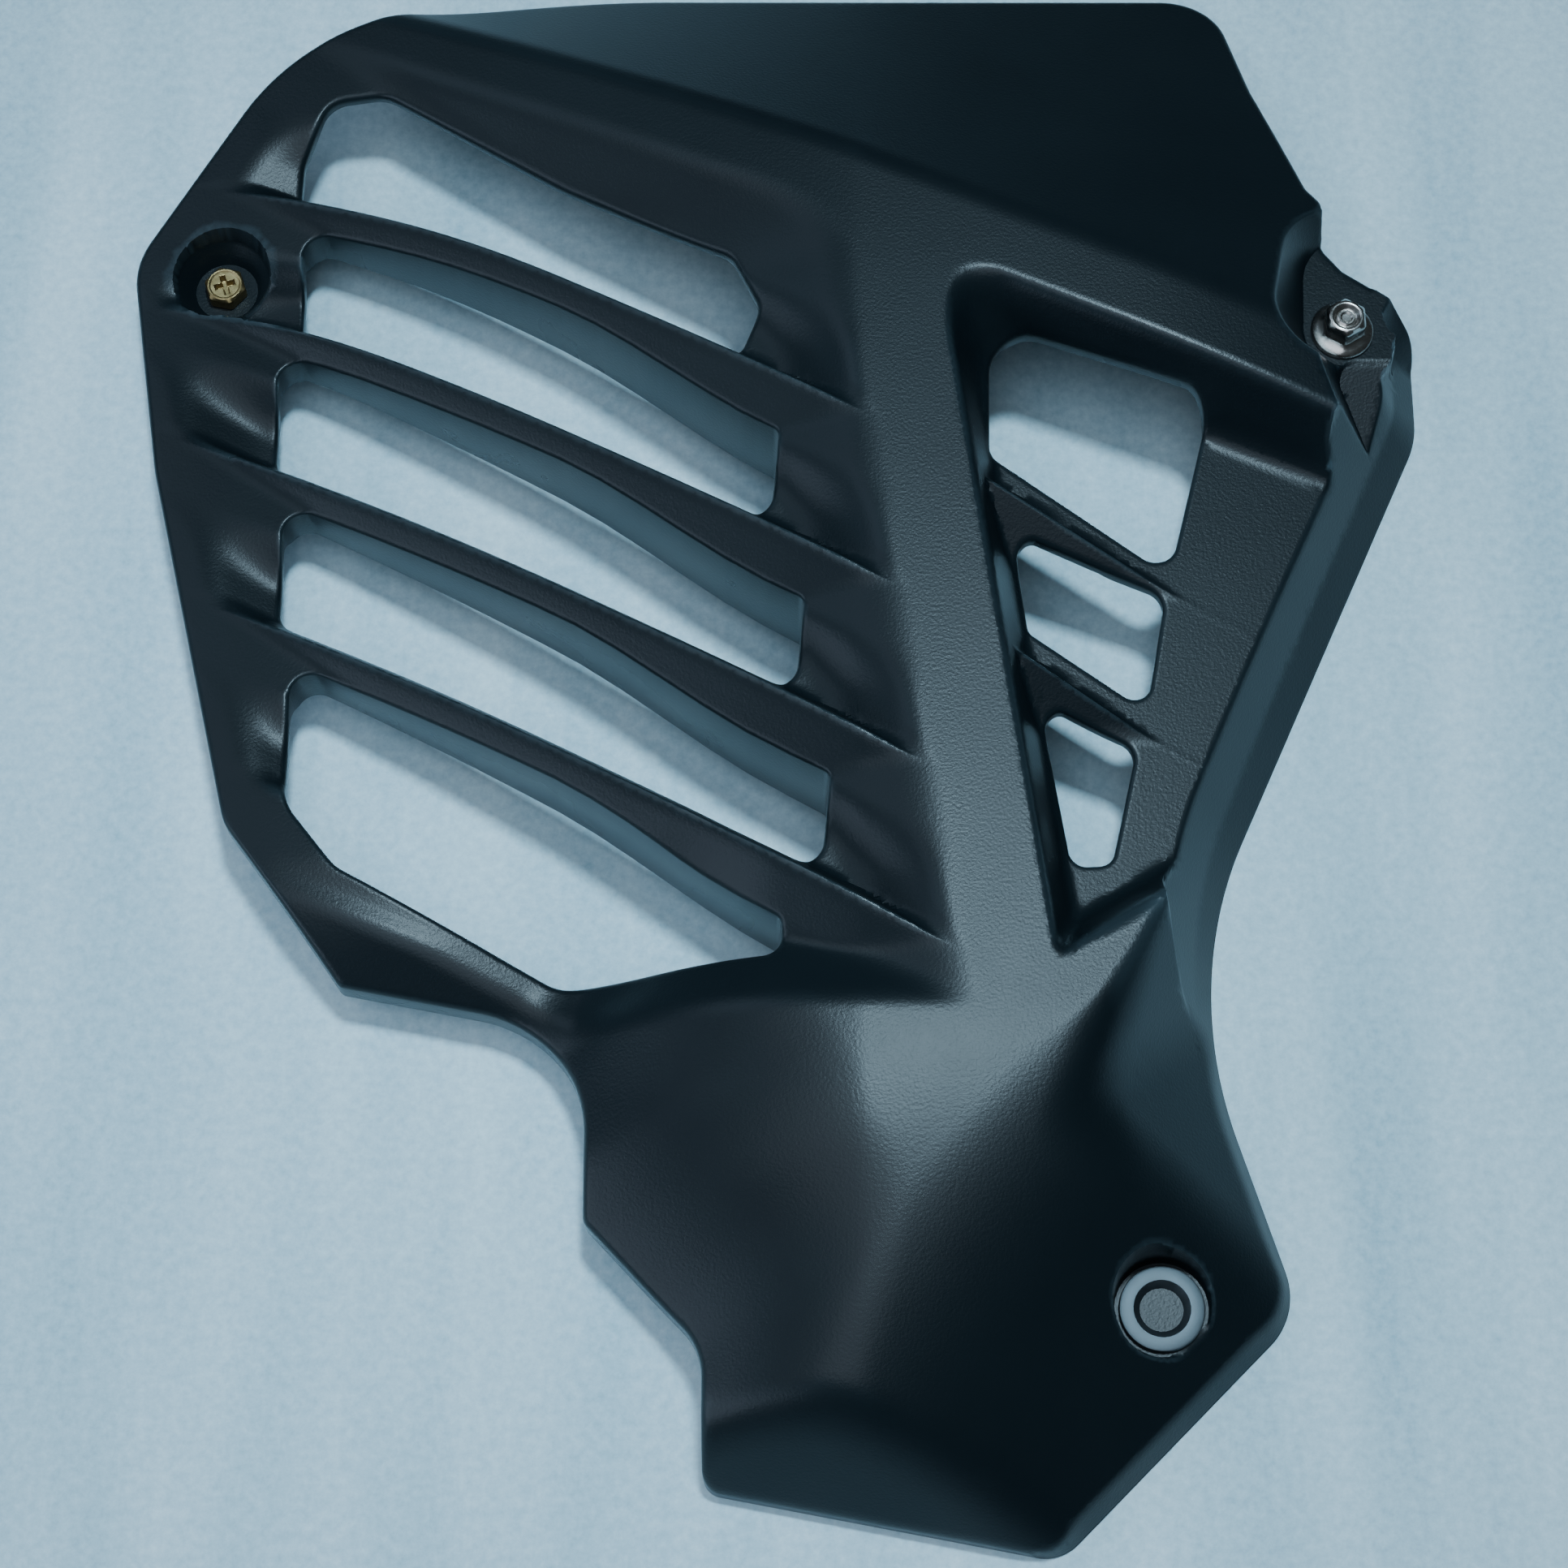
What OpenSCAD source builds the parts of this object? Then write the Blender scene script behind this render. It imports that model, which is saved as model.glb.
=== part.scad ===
// Fan guard of a motorbike: one moulded shell with louvres, two screws and a mounting collar.
// It lies face up on its rim, so the face looks along +Z and the foot points along -Y.

/* [Body] */
// Width from the left edge to the right lug
guard_w = 273; // [269:1:279]
// Length from the foot to the top edge
guard_l = 336; // [332:1:342]
// Height of the spine over the rim
spine_h = 42; // [39:0.5:46]
// Wall thickness of the moulding
wall = 2.4; // [2:0.1:2.8]
// How far the face falls from the spine to the left edge
left_fall = 28; // [25:0.5:30]
// How far the face falls from the spine to the end of the leg
leg_fall = 9; // [6:0.5:12]

/* [Wing] */
// Height of the wing's outer edge over the rim
wing_edge_h = 12; // [10:0.5:15]
// Where the crease between face and wing crosses the spine, from the middle
crease_y = 113; // [110:0.5:115]
// Fall of the crease for each millimetre to the right
crease_slope = 0.433; // [0.41:0.005:0.45]

/* [Louvres] */
// Number of slats
slat_count = 4; // [4:1:4]
// Distance between the slats, measured along Y
slat_pitch = 34.4; // [33.5:0.1:35]
// Where the ridge of the top slat lies, measured at the middle of the slats
slat_y = 86.5; // [84:0.5:88]
// Fall of the slats for each millimetre to the right
slat_slope = 0.56; // [0.54:0.005:0.58]
// Slope of a slat's face behind its ridge
face_slope = 0.58; // [0.45:0.01:0.7]
// Slope of a slat's rolled lip before its ridge
lip_slope = 2.2; // [1.6:0.1:2.6]
// Reach of the lip over the slot before it
lip_w = 3; // [2.4:0.1:3.4]
// Width of a slat's face at its left end
face_w = 5.5; // [4.5:0.1:6.5]
// How much wider the face is at its right end
face_spread = 5; // [3.5:0.1:6]
// Depth of the louvres under the face
louvre_depth = 9; // [7:0.5:11]
// Lower edge of the web under each slat, over the rim
web_foot_h = 10; // [8:0.5:12]
// Thickness of the webs
web_t = 1.8; // [1.4:0.1:2.4]

/* [Side recess] */
// Height of the recessed panel over the rim
panel_h = 27; // [25:0.5:29]
// Height of the two bars over the panel at their root
bar_rise = 9; // [7:0.5:11]
// Slope of the recess wall beside the spine
spine_wall_slope = 2.8; // [2.2:0.1:3.4]
// Slope of the recess wall under the wing
wing_wall_slope = 1.8; // [1.5:0.1:2.2]
// Slope of the recess wall at its foot
foot_wall_slope = 2; // [1.6:0.1:2.4]

/* [Edge] */
// Height of the drafted strip along the right edge
strip_h = 9; // [7:0.5:11]
// Width of the strip beside the panel
strip_w_top = 6; // [5:0.5:7]
// Width of the strip at the foot
strip_w_foot = 3.8; // [3:0.2:5]
// Width of the edge band everywhere else
band_w = 1; // [0.6:0.1:1.4]
// Slope of the flank beside the panel
flank_slope_top = 2.3; // [2:0.05:2.6]
// Slope of the flank above the collar
flank_slope_foot = 1.1; // [0.95:0.05:1.2]
// Slope of the flank under the collar
toe_slope = 0.62; // [0.55:0.01:0.7]
// Slope of the facet at the end of the leg
foot_slope = 1.7; // [1.4:0.1:2]
// Height of the free edge at the foot
foot_edge_h = 5; // [4:0.5:7]
// Depth of the free edge under the skin, left of the skirt
rim_h = 6.5; // [5:0.5:8]

/* [Lug bolt] */
// Distance of the lug bolt from the right edge
lug_in = 18; // [17:0.5:19]
// Distance of the lug bolt above the middle
lug_up = 82; // [81:0.5:83]
// Height of the lug's face over the rim
lug_h = 20; // [20:0.5:22]
// Radius of the flat face round the bolt
lug_r = 8.2; // [7.8:0.1:8.6]
// Thread diameter of the lug bolt
bolt_d = 6; // [5:0.5:6]
// Length under the head of the lug bolt
bolt_len = 19; // [16:0.5:20]
// Width of the bolt's hexagon across its flats
bolt_af = 8; // [8:0.5:10]
// Height of the bolt's head with its flange
bolt_head_h = 7; // [6:0.5:8]
// Diameter of the bolt's flange
bolt_flange_d = 13.2; // [12:0.2:14]

/* [Pocket screw] */
// Distance of the pocket screw from the left edge
pocket_in = 18.5; // [17.5:0.5:19.5]
// Distance of the pocket screw above the middle
pocket_up = 97.5; // [96.5:0.5:98.5]
// Height of the pocket's floor over the rim
pocket_floor_h = 8.5; // [8:0.5:9]
// Radius of the pocket at its floor
pocket_floor_r = 6.6; // [6:0.2:7]
// Radius of the pocket at its mouth
pocket_mouth_r = 9.8; // [9:0.2:10.5]
// Thread diameter of the pocket screw
screw_d = 5; // [4:0.5:5]
// Length under the head of the pocket screw
screw_len = 8.5; // [7:0.5:8.5]
// Width of the screw's hexagon across its flats
screw_af = 8; // [7:0.5:8.5]
// Height of the screw's head
screw_head_h = 3.6; // [3:0.2:4.2]

/* [Collar] */
// Distance of the collar to the right of the middle
collar_right = 73.5; // [72.5:0.5:74.5]
// Distance of the collar above the foot
collar_up = 45; // [44:0.5:46]
// Height of the collar's top over the rim
collar_top_h = 14; // [13:0.5:15]
// Outer diameter of the collar's flange
collar_flange_d = 16.5; // [15:0.1:17]
// Thickness of the collar's flange
collar_flange_t = 1.6; // [1.2:0.1:2]
// Outer diameter of the collar's tube
collar_tube_d = 11.6; // [11:0.1:12]
// Bore of the collar
collar_bore_d = 8.4; // [7.5:0.1:9]
// Length of the collar
collar_len = 12; // [10:0.5:12.5]

/* [Fit] */
// Gap round the shank of each screw
shank_gap = 0.4; // [0.35:0.05:0.5]
// Gap round the collar's tube
collar_gap = 0.1; // [0.05:0.05:0.2]
// Gap round the collar's flange
flange_gap = 1.3; // [0.8:0.1:1.8]

/* [Hidden] */
$fn = 48;

shell_colour = [0.13, 0.15, 0.16];
zinc_colour = [0.78, 0.66, 0.38];
steel_colour = [0.66, 0.64, 0.62];
collar_colour = [0.68, 0.70, 0.72];

// Solids that shape the skin reach this far past the shell
beyond = 20;
flank_top_h = spine_h - 9;
strip_bite = 1;
fan_centre = [20, -57];
free_edge_reach = 5;
slot_steps = 7;
web_steps = 6;
web_inset = 9;
pocket_floor_t = 3;
head_chamfer = 0.7;
cross_l = 4.6;
cross_w = 1.2;
cross_depth = 1.6;
dish_r = 2.9;
dish_depth = 0.9;
pocket_rise = 5;
lug_floor_t = 3;
lug_boss_h = 10;
lug_boss_r = 6.5;
lug_flare = 11;
lug_dish_h = 24;
lug_lift = 14;
collar_end_free = 0.5;
block_top = spine_h + beyond;
cut_margin = 1;

lug_at = [guard_w / 2 - lug_in, lug_up];
pocket_at = [pocket_in - guard_w / 2, pocket_up];

// The lug's face is flat round the bolt, to its ear and over the edge, and then falls to a tail.
// Each spot has its offset from the bolt, its drop and its radius.
lug_face = [[0, 0, 0, lug_r], [2.5, 12, 0, 10], [26, 0, 0, lug_r]];
lug_tail = [[3, -11, 0, 4], [26, -11, 0, 4], [6.5, -25, 7, 1.5]];
collar_at = [collar_right, collar_up - guard_l / 2];

// The screws have a plain shoulder inside the shell, which stands a little out of it
shoulder_rise = 0.22;
shoulder_out = 0.4;

// Corners of the outline with their radii, counter-clockwise from the lower left point.
leg_left_x = -37;
foot_left_x = -14;
outline_corners = [
    [-86, -59.5, 2],
    [leg_left_x, -69, 26],
    [leg_left_x, -107, 3],
    [foot_left_x, -131.5, 14],
    [foot_left_x, 12 - guard_l / 2, 4],
    [54, -guard_l / 2 - 0.8, 9],
    [102, -121.5, 14],
    [81.3, -55, 88],
    [guard_w / 2, 66, 20],
    [guard_w / 2, 85, 6],
    [119.5, 96.5, 5],
    [115.5, 101.5, 4],
    [114.3, 108.5, 3],
    [111.5, 112, 3],
    [102, 140, 30],
    [95.5, guard_l / 2, 14],
    [-42, guard_l / 2, 130],
    [-106, 149.5, 45],
    [-guard_w / 2 - 0.9, 101.5, 16],
    [-129.5, 52, 60],
    [-110, -27, 12],
];
// The right side and the foot have a skirt down to the floor inside this border
skirt_zone = [
    [50, -guard_l],
    [50, -140],
    [10, -100],
    [60, 60],
    [100, 90],
    [100, 111],
    [guard_w, 111],
    [guard_w, -guard_l],
];

// Indices of the corners that the facets of the shell start from
notch_corner = 0;
leg_corner = 1;
step_corner = 2;
foot_corner = 4;
toe_corner = 5;
hip_corner = 6;
neck_corner = 7;
shoulder_corner = 17;

// Lines that the louvres and the recess end at, as places along X at the middle with their lean
spine_lean = 0.138;
spine_left_x = 24;
spine_right_x = 45.2;
spine_top_x = 16.5;
louvre_left_x = -109;
louvre_left_lean = 0.24;
louvre_inset = 9;
slat_pivot_x = -42.5;
slat_bow_low = 0.0007;
slat_bow_rise = 0.0014;
louvre_top_y = 124;
louvre_top_slope = 0.46;
louvre_foot_y = -69;
louvre_foot_x = -39.5;
louvre_foot_slope = 0.5;
recess_top_y = 85;
recess_top_x = 42.5;
recess_foot_y = -57;
recess_foot_x = 59.5;
recess_foot_slope = 0.6;
recess_corner = 40;
recess_foot_corner = 8;
bar_shift = 2;
bar_tips = [82, 76];
bar_roots = [43.5, 48.5];

// Slots between the slats, from the top slot down: where each one starts and ends
slot_starts = [-102, -100.5, -104.5, -101.5, -98];
slot_ends = [-3.5, 0.5, 5.5, 10.5, 1];
slot_corner_r = 4.5;
top_slot_border = [[-11.5, 95.5], [-44.5, 112], [-84, 137], [-96, 136], [-101.5, 123]];
foot_slot_border = [[-98, -23], [-87, -37], [-43, -60.5], [-37, -60.5]];

// Openings in the panel of the side recess as corners with their radii
panel_openings = [
    [[44, 78.5, 7], [43.5, 50, 3], [79.5, 24, 4.5], [89, 61, 7]],
    [[48, 31.5, 3], [50.5, 11, 3], [73.8, -5.5, 3.5], [78.5, 19.5, 4.5]],
    [[52.5, -5, 3], [57.8, -38.5, 3.5], [65.8, -38, 3.5], [71.5, -13.5, 4]],
];

// General shaping functions
function clamp(v) = min(1, max(0, v));
function ease(v) = let (t = clamp(v)) t * t * (3 - 2 * t);
function mix(a, b, t) = a + (b - a) * t;
function soft_min(a, b, r) = let (h = max(r - abs(a - b), 0) / r) min(a, b) - h * h * r / 4;
function soft_max(a, b, r) = -soft_min(-a, -b, r);
function unit(v) = v / norm(v);
function turned(v) = [-v[1], v[0]];

// One rounded corner of an outline as points on its arc
function corner_points(before, corner, after, step) =
    let (
        a = unit(before - [corner[0], corner[1]]),
        b = unit(after - [corner[0], corner[1]]),
        half = acos(a * b) / 2,
        reach = corner[2] / tan(half),
        start = [corner[0], corner[1]] + a * reach,
        bend = 180 - 2 * half,
        side = (a[0] * b[1] - a[1] * b[0]) > 0 ? -1 : 1,
        centre = start + turned(-a) * side * corner[2],
        count = max(1, ceil(bend / step))
    )
    [for (k = [0 : count])
        let (angle = side * bend * k / count, arm = start - centre)
        centre + [arm[0] * cos(angle) - arm[1] * sin(angle), arm[0] * sin(angle) + arm[1] * cos(angle)]];

function flat(p) = [p[0], p[1]];

function rounded(corners, step = 11) =
    let (n = len(corners))
    [for (i = [0 : n - 1])
        for (p = corner_points(flat(corners[(i + n - 1) % n]), corners[i], flat(corners[(i + 1) % n]), step)) p];

outline_points = rounded(outline_corners);
outline_count = len(outline_points);
low_x = min([for (p = outline_points) p[0]]);
high_x = max([for (p = outline_points) p[0]]);
low_y = min([for (p = outline_points) p[1]]);
high_y = max([for (p = outline_points) p[1]]);
middle = [(low_x + high_x) / 2, (low_y + high_y) / 2];

// Height of a facet that rises inwards from the line between two outline corners
function line_distance(p, from, to) = turned(unit(to - from)) * (p - from);
function edge_facet(p, i, edge_h, slope, inset = 0) =
    let (n = len(outline_corners))
    let (from = flat(outline_corners[i]), to = flat(outline_corners[(i + 1) % n]))
    edge_h + slope * (line_distance(p, from, to) - inset);

// Plain face: it is highest along the spine and falls to the left, to the right and down the leg
function face_height(p) =
    let (
        left = max(0, spine_top_x - p[0]) / (spine_top_x + guard_w / 2),
        right = max(0, p[0] - 70) / 50,
        leg = max(0, louvre_foot_y - p[1]) / 75
    )
    spine_h - left_fall * pow(left, 1.3) - 5 * right * right - leg_fall * leg * leg;

// The wing is ruled from the crease to the top edge
function crease_line(x) = crease_y - crease_slope * (x - spine_top_x);
function winged(p, face) =
    let (past = soft_max(p[1] - crease_line(p[0]), 0, 3), span = guard_l / 2 - crease_line(p[0]))
    mix(face, wing_edge_h, max(0, past / span));

// The free edges round the notch and down the left of the leg roll off
function left_roll(p) =
    let (
        notch = edge_facet(p, notch_corner, 15, 0.7),
        leg = edge_facet(p, leg_corner, 20, 0.75),
        step = edge_facet(p, step_corner, 18, 0.8),
        foot = edge_facet(p, step_corner + 1, 22, 0.9)
    )
    soft_max(notch, soft_min(leg, soft_max(step, foot, 6), 6), 8);

// The leg falls to the foot, to the toe and to the strip above the collar
function leg_fall_height(p) =
    let (
        end = edge_facet(p, foot_corner, foot_edge_h, foot_slope),
        toe = edge_facet(p, toe_corner, strip_h - strip_bite, toe_slope, strip_w_foot),
        hip = edge_facet(p, hip_corner, strip_h - strip_bite, flank_slope_foot, strip_w_foot),
        side_h = strip_h + lug_lift * ease((p[1] - 20) / 30),
        side = edge_facet(p, neck_corner, side_h, flank_slope_top, -strip_w_top)
    )
    soft_min(soft_min(end, toe, 3), soft_max(hip, side, 8), 3);

function rolled(p, face) = soft_min(soft_min(face, left_roll(p), 8), leg_fall_height(p), 3);

// Slats: w counts along Y with the slope of the slats taken out
function slat_bow(y) = slat_bow_low + slat_bow_rise * ease((y - 70) / 40);
function bowed(x, y) = y - slat_bow(y) * pow(min(0, x - slat_pivot_x), 2);
function slat_y_at(x, w) = bowed(x, w - slat_slope * (x - slat_pivot_x));
function slat_w(p) =
    let (x = p[0] - slat_pivot_x)
    p[1] + slat_slope * x + slat_bow(p[1]) * pow(min(0, x), 2);
function ridge_w(i) = slat_y - slat_pitch * i;
function ridge_drop(w_off) = soft_max(face_slope * w_off, -lip_slope * w_off, 1.2);
function louvre_drop(p) =
    let (
        w = slat_w(p),
        along = max(-1, (slat_y - w) / slat_pitch),
        part = along - floor(along),
        trench = ease((part - 0.35) / 0.4) * ease((1 - part) / 0.1),
        right = (spine_left_x - spine_lean * p[1] - p[0]) * (0.34 + 0.3 * trench),
        shoulder = edge_facet(p, shoulder_corner, 0, 1),
        beside = min(p[0] - louvre_left_x + louvre_left_lean * p[1], shoulder - louvre_inset),
        left = beside * (0.14 + 0.33 * trench),
        top = face_slope * (louvre_top_y - louvre_top_slope * (p[0] - slat_pivot_x) - p[1]),
        foot = 0.6 * (p[1] - louvre_foot_y - louvre_foot_slope * max(0, louvre_foot_x - p[0])),
        slats = min([for (i = [0 : slat_count - 1]) ridge_drop(ridge_w(i) - w)]),
        frame = soft_min(soft_min(right, top, 6), soft_min(left, foot, 2), 2)
    )
    soft_max(0, soft_min(soft_min(slats, frame, 1), louvre_depth, 3), 1.6);

// Side recess: walls fall from the spine and the wing to a panel with two bars
function recess_line_x(y) = spine_right_x - spine_lean * y;
function recess_line_y(x) = recess_top_y - crease_slope * (x - recess_top_x);
function bar_height(p, i) =
    let (
        sink = clamp((p[0] - bar_roots[i]) / (bar_tips[i] - bar_roots[i])),
        off = ridge_w(i) + bar_shift - slat_w(p)
    )
    panel_h + bar_rise * (1 - sink) - 0.6 - soft_max(face_slope * off, -lip_slope * off, 1.2);
function recessed(p, face, with_bars) =
    let (
        beside = spine_wall_slope * (p[0] - recess_line_x(p[1])),
        under = wing_wall_slope * (recess_line_y(p[0]) - p[1]),
        foot = foot_wall_slope * (p[1] - recess_foot_y - recess_foot_slope * (p[0] - recess_foot_x)),
        walls = face - soft_min(soft_min(beside, under, recess_corner), foot, recess_foot_corner),
        panel = panel_h - 0.05 * (p[0] - spine_right_x),
        bars = with_bars ? max(bar_height(p, 0), bar_height(p, 1)) : 0,
        floor_h = soft_max(soft_max(panel, walls, 4), bars, 1)
    )
    soft_min(face, floor_h, 1.6);

function skin_height(p, with_bars = true) =
    let (face = rolled(p, winged(p, face_height(p))))
    max(cut_margin - beyond, recessed(p, face, with_bars) - louvre_drop(p));

function rim_height(p) = rolled(p, winged(p, face_height(p))) - rim_h;

// The underside keeps the wall's thickness from the skin above it and beside it
function under_height(p) =
    let (steps = [[0, 0], [wall, 0], [-wall, 0], [0, wall], [0, -wall]])
    min([for (step = steps) skin_height(p + step, false)]) - wall;

// Lattice that the skin is drawn on: its rows run with the slats and its columns with the spine
function row_slope(w) =
    w > slat_y
    ? mix(slat_slope, crease_slope, ease((w - slat_y) / (louvre_top_y - slat_y)))
    : mix(slat_slope, 0.25, ease((ridge_w(slat_count - 1) - w) / 120));
function row_y(x, w) = bowed(x, w - row_slope(w) * (x - slat_pivot_x));
function column_x(u, w, x, steps) =
    steps == 0 ? x : column_x(u, w, u - spine_lean * row_y(x, w), steps - 1);
function lattice_point(u, w) =
    let (x = column_x(u, w, u, 5))
    [x, row_y(x, w)];

slat_steps = [5.2, 2.1, 1.1, 0, -1, -4, -8.5, -14, -19, -25];
under_steps = [5.6, 1.2, -2.5, -9, -14, -19, -24.5];
function skin_rows(steps, foot, head) =
    concat(
        foot,
        [for (i = [slat_count - 1 : -1 : 0], k = [len(steps) - 1 : -1 : 0]) ridge_w(i) + steps[k]],
        [for (w = head) slat_y + w]
    );
rows = skin_rows(
    slat_steps,
    [-230, -180, -150, -128, -112, -98, -84, -72, -62, -52],
    [8, 14, 21, 27, 31, 34, 37, 41, 47, 53, 60, 78, 94, 116, 145, 190]
);
under_rows = skin_rows(
    under_steps,
    [-230, -212, -196, -182, -168, -148, -126, -106, -88, -72, -56],
    [10, 20, 30, 37, 46, 57, 78, 110, 190]
);
columns = [
    -175, -150, -138, -128, -118, -108, -97, -83, -67, -51, -36, -23, -12, -3, 4, 10, 16, 21,
    26, 33, 40, 43.5, 46, 49, 53, 57, 61, 65.5, 70, 76, 84, 95, 108, 124, 145, 175,
];
rim_rows = [-230, -180, -140, -100, -60, -20, 20, 60, 90, 115, 140, 165, 190, 215, 280];
rim_columns = [-175, -150, -130, -110, -80, -50, -20, 10, 40, 70, 100, 130, 175];
under_columns = [
    -175, -140, -126, -112, -95, -72, -50, -30, -14, 0, 12, 21, 32, 43, 48, 53, 59, 67, 78, 92, 110, 135, 175,
];

// A solid under the points of a lattice, row by row
module lattice_block(top, n) {
    m = len(top) / n;
    rim = concat(
        [for (j = [0 : n - 2]) j],
        [for (i = [0 : m - 2]) i * n + n - 1],
        [for (j = [n - 1 : -1 : 1]) (m - 1) * n + j],
        [for (i = [m - 1 : -1 : 1]) i * n]
    );
    foot = [for (k = rim) [top[k][0], top[k][1], -beyond]];
    count = len(rim);
    faces = concat(
        [for (i = [0 : m - 2], j = [0 : n - 2]) [i * n + j, (i + 1) * n + j + 1, i * n + j + 1]],
        [for (i = [0 : m - 2], j = [0 : n - 2]) [i * n + j, (i + 1) * n + j, (i + 1) * n + j + 1]],
        [for (k = [0 : count - 1]) [rim[k], rim[(k + 1) % count], n * m + (k + 1) % count, n * m + k]],
        [[for (k = [0 : count - 1]) n * m + k]]
    );
    polyhedron(points = concat(top, foot), faces = faces, convexity = 12);
}

// Everything under the skin
module skin_block() {
    lattice_block(
        [for (w = rows, u = columns) let (p = lattice_point(u, w)) [p[0], p[1], skin_height(p)]],
        len(columns)
    );
}

// Everything under the underside
module hollow_block() {
    lattice_block(
        [for (w = under_rows, u = under_columns) let (p = lattice_point(u, w)) [p[0], p[1], under_height(p)]],
        len(under_columns)
    );
}

// Everything below the free edge
module rim_block() {
    lattice_block(
        [for (w = rim_rows, u = rim_columns) let (p = lattice_point(u, w)) [p[0], p[1], rim_height(p)]],
        len(rim_columns)
    );
}

// Width of the drafted strip at a point of the outline, and of the flank over it
function strip_width(p) =
    let (
        right = ease((p[0] - 48) / 12) * (1 - ease((p[1] - 87) / 6)),
        drafted = mix(strip_w_foot, strip_w_top, ease((p[1] + 90) / 110))
    )
    mix(band_w, drafted, right);
function flank_width(p) =
    (flank_top_h - strip_h) / flank_slope_top
    * ease((p[0] - 60) / 12) * ease((p[1] + 78) / 40) * (1 - ease((p[1] - 60) / 20));

function outline_normal(i) =
    let (
        before = outline_points[(i + outline_count - 1) % outline_count],
        after = outline_points[(i + 1) % outline_count]
    )
    turned(unit(after - before));

// Everything inside the edge: it stands on the outline and leans in over the strip
module edge_block(inset) {
    n = outline_count;
    low = inset == 0 ? 0 : -cut_margin;
    strips = [for (p = outline_points) strip_width(p)];
    flanks = [for (i = [0 : n - 1]) strips[i] + flank_width(outline_points[i])];
    levels = [[low, [for (p = outline_points) 0]], [strip_h, strips], [flank_top_h, flanks], [block_top, flanks]];
    points = concat(
        [for (level = levels, i = [0 : n - 1])
            let (p = outline_points[i] + outline_normal(i) * (inset + level[1][i]))
            [p[0], p[1], level[0]]],
        [[fan_centre[0], fan_centre[1], low], [fan_centre[0], fan_centre[1], block_top]]
    );
    last = len(levels) - 1;
    faces = concat(
        [for (i = [0 : n - 1]) [(last + 1) * n, i, (i + 1) % n]],
        [for (k = [0 : last - 1], i = [0 : n - 1])
            [k * n + i, (k + 1) * n + i, (k + 1) * n + (i + 1) % n]],
        [for (k = [0 : last - 1], i = [0 : n - 1])
            [k * n + i, (k + 1) * n + (i + 1) % n, k * n + (i + 1) % n]],
        [for (i = [0 : n - 1]) [(last + 1) * n + 1, last * n + (i + 1) % n, last * n + i]]
    );
    polyhedron(points = points, faces = faces, convexity = 12);
}

// Band along the edge where the shell has no skirt
module free_edge_zone() {
    translate([0, 0, -cut_margin])
        linear_extrude(block_top)
            difference() {
                offset(delta = cut_margin)
                    polygon(outline_points);
                offset(delta = -free_edge_reach)
                    polygon(outline_points);
                polygon(skirt_zone);
            }
}

// Borders of the slots: a slot lies between the face of one slat and the lip of the next
function face_width(x) = face_w + face_spread * ease((x + 45) / 45);
function slot_upper_y(i, x) = slat_y_at(x, ridge_w(i - 1) - face_width(x));
function slot_lower_y(i, x) = slat_y_at(x, ridge_w(i) + lip_w);
function slot_xs(i) = [for (k = [0 : slot_steps]) mix(slot_starts[i], slot_ends[i], k / slot_steps)];
function slot_points(i) =
    let (xs = slot_xs(i), n = slot_steps)
    concat(
        i == slat_count ? concat(foot_slot_border, [[xs[n], -58.5]]) : [for (x = xs) [x, slot_lower_y(i, x)]],
        i == 0 ? top_slot_border : [for (k = [n : -1 : 0]) [xs[k], slot_upper_y(i, xs[k])]]
    );

module slot(i) {
    translate([0, 0, -cut_margin])
        linear_extrude(block_top)
            offset(r = slot_corner_r)
                offset(delta = -slot_corner_r)
                    polygon(slot_points(i));
}

// A web hangs under the lower edge of each slat, as a chain of wall pieces that the slot trims flush
module web_post(x, y) {
    translate([x, y])
        circle(d = 2 * web_t, $fn = 4);
}

module web(i) {
    first = slot_starts[i] + web_inset;
    last = slot_ends[i];
    xs = [for (k = [0 : web_steps]) mix(first, last, k / web_steps)];
    translate([0, 0, web_foot_h])
        linear_extrude(spine_h)
            for (k = [0 : web_steps - 1])
                hull()
                    for (x = [xs[k], xs[k + 1]])
                        web_post(x, slot_upper_y(i, x));
}

module pocket_cone(grow) {
    cylinder(r1 = pocket_floor_r + grow, r2 = pocket_mouth_r + grow, h = pocket_rise);
    translate([0, 0, pocket_rise])
        cylinder(r = pocket_mouth_r + grow, h = spine_h);
}

module pocket_boss() {
    translate([pocket_at[0], pocket_at[1], pocket_floor_h - pocket_floor_t])
        pocket_cone(wall);
}

module pocket_cut() {
    translate([pocket_at[0], pocket_at[1], pocket_floor_h])
        pocket_cone(0);
    translate([pocket_at[0], pocket_at[1], -cut_margin])
        cylinder(d = screw_d + 2 * shank_gap, h = spine_h);
}

module lug_dish(grow) {
    for (spots = [lug_face, lug_tail])
        hull()
            for (spot = spots)
                translate([spot[0], spot[1], -spot[2]])
                    cylinder(r1 = spot[3] + grow, r2 = spot[3] + grow + lug_flare, h = lug_dish_h + spot[2]);
}

module lug_boss() {
    translate([lug_at[0], lug_at[1], lug_h - lug_floor_t])
        lug_dish(wall);
    translate([lug_at[0], lug_at[1], lug_h - lug_boss_h])
        cylinder(r = lug_boss_r, h = lug_boss_h + cut_margin);
}

module lug_cut() {
    translate([lug_at[0], lug_at[1], lug_h])
        lug_dish(0);
    translate([lug_at[0], lug_at[1], -cut_margin])
        cylinder(d = bolt_d + 2 * shank_gap, h = spine_h);
}

module collar_boss() {
    translate([collar_at[0], collar_at[1], collar_top_h - collar_len + collar_end_free])
        cylinder(d = collar_flange_d + 2 * flange_gap + 2 * wall, h = spine_h);
}

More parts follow.
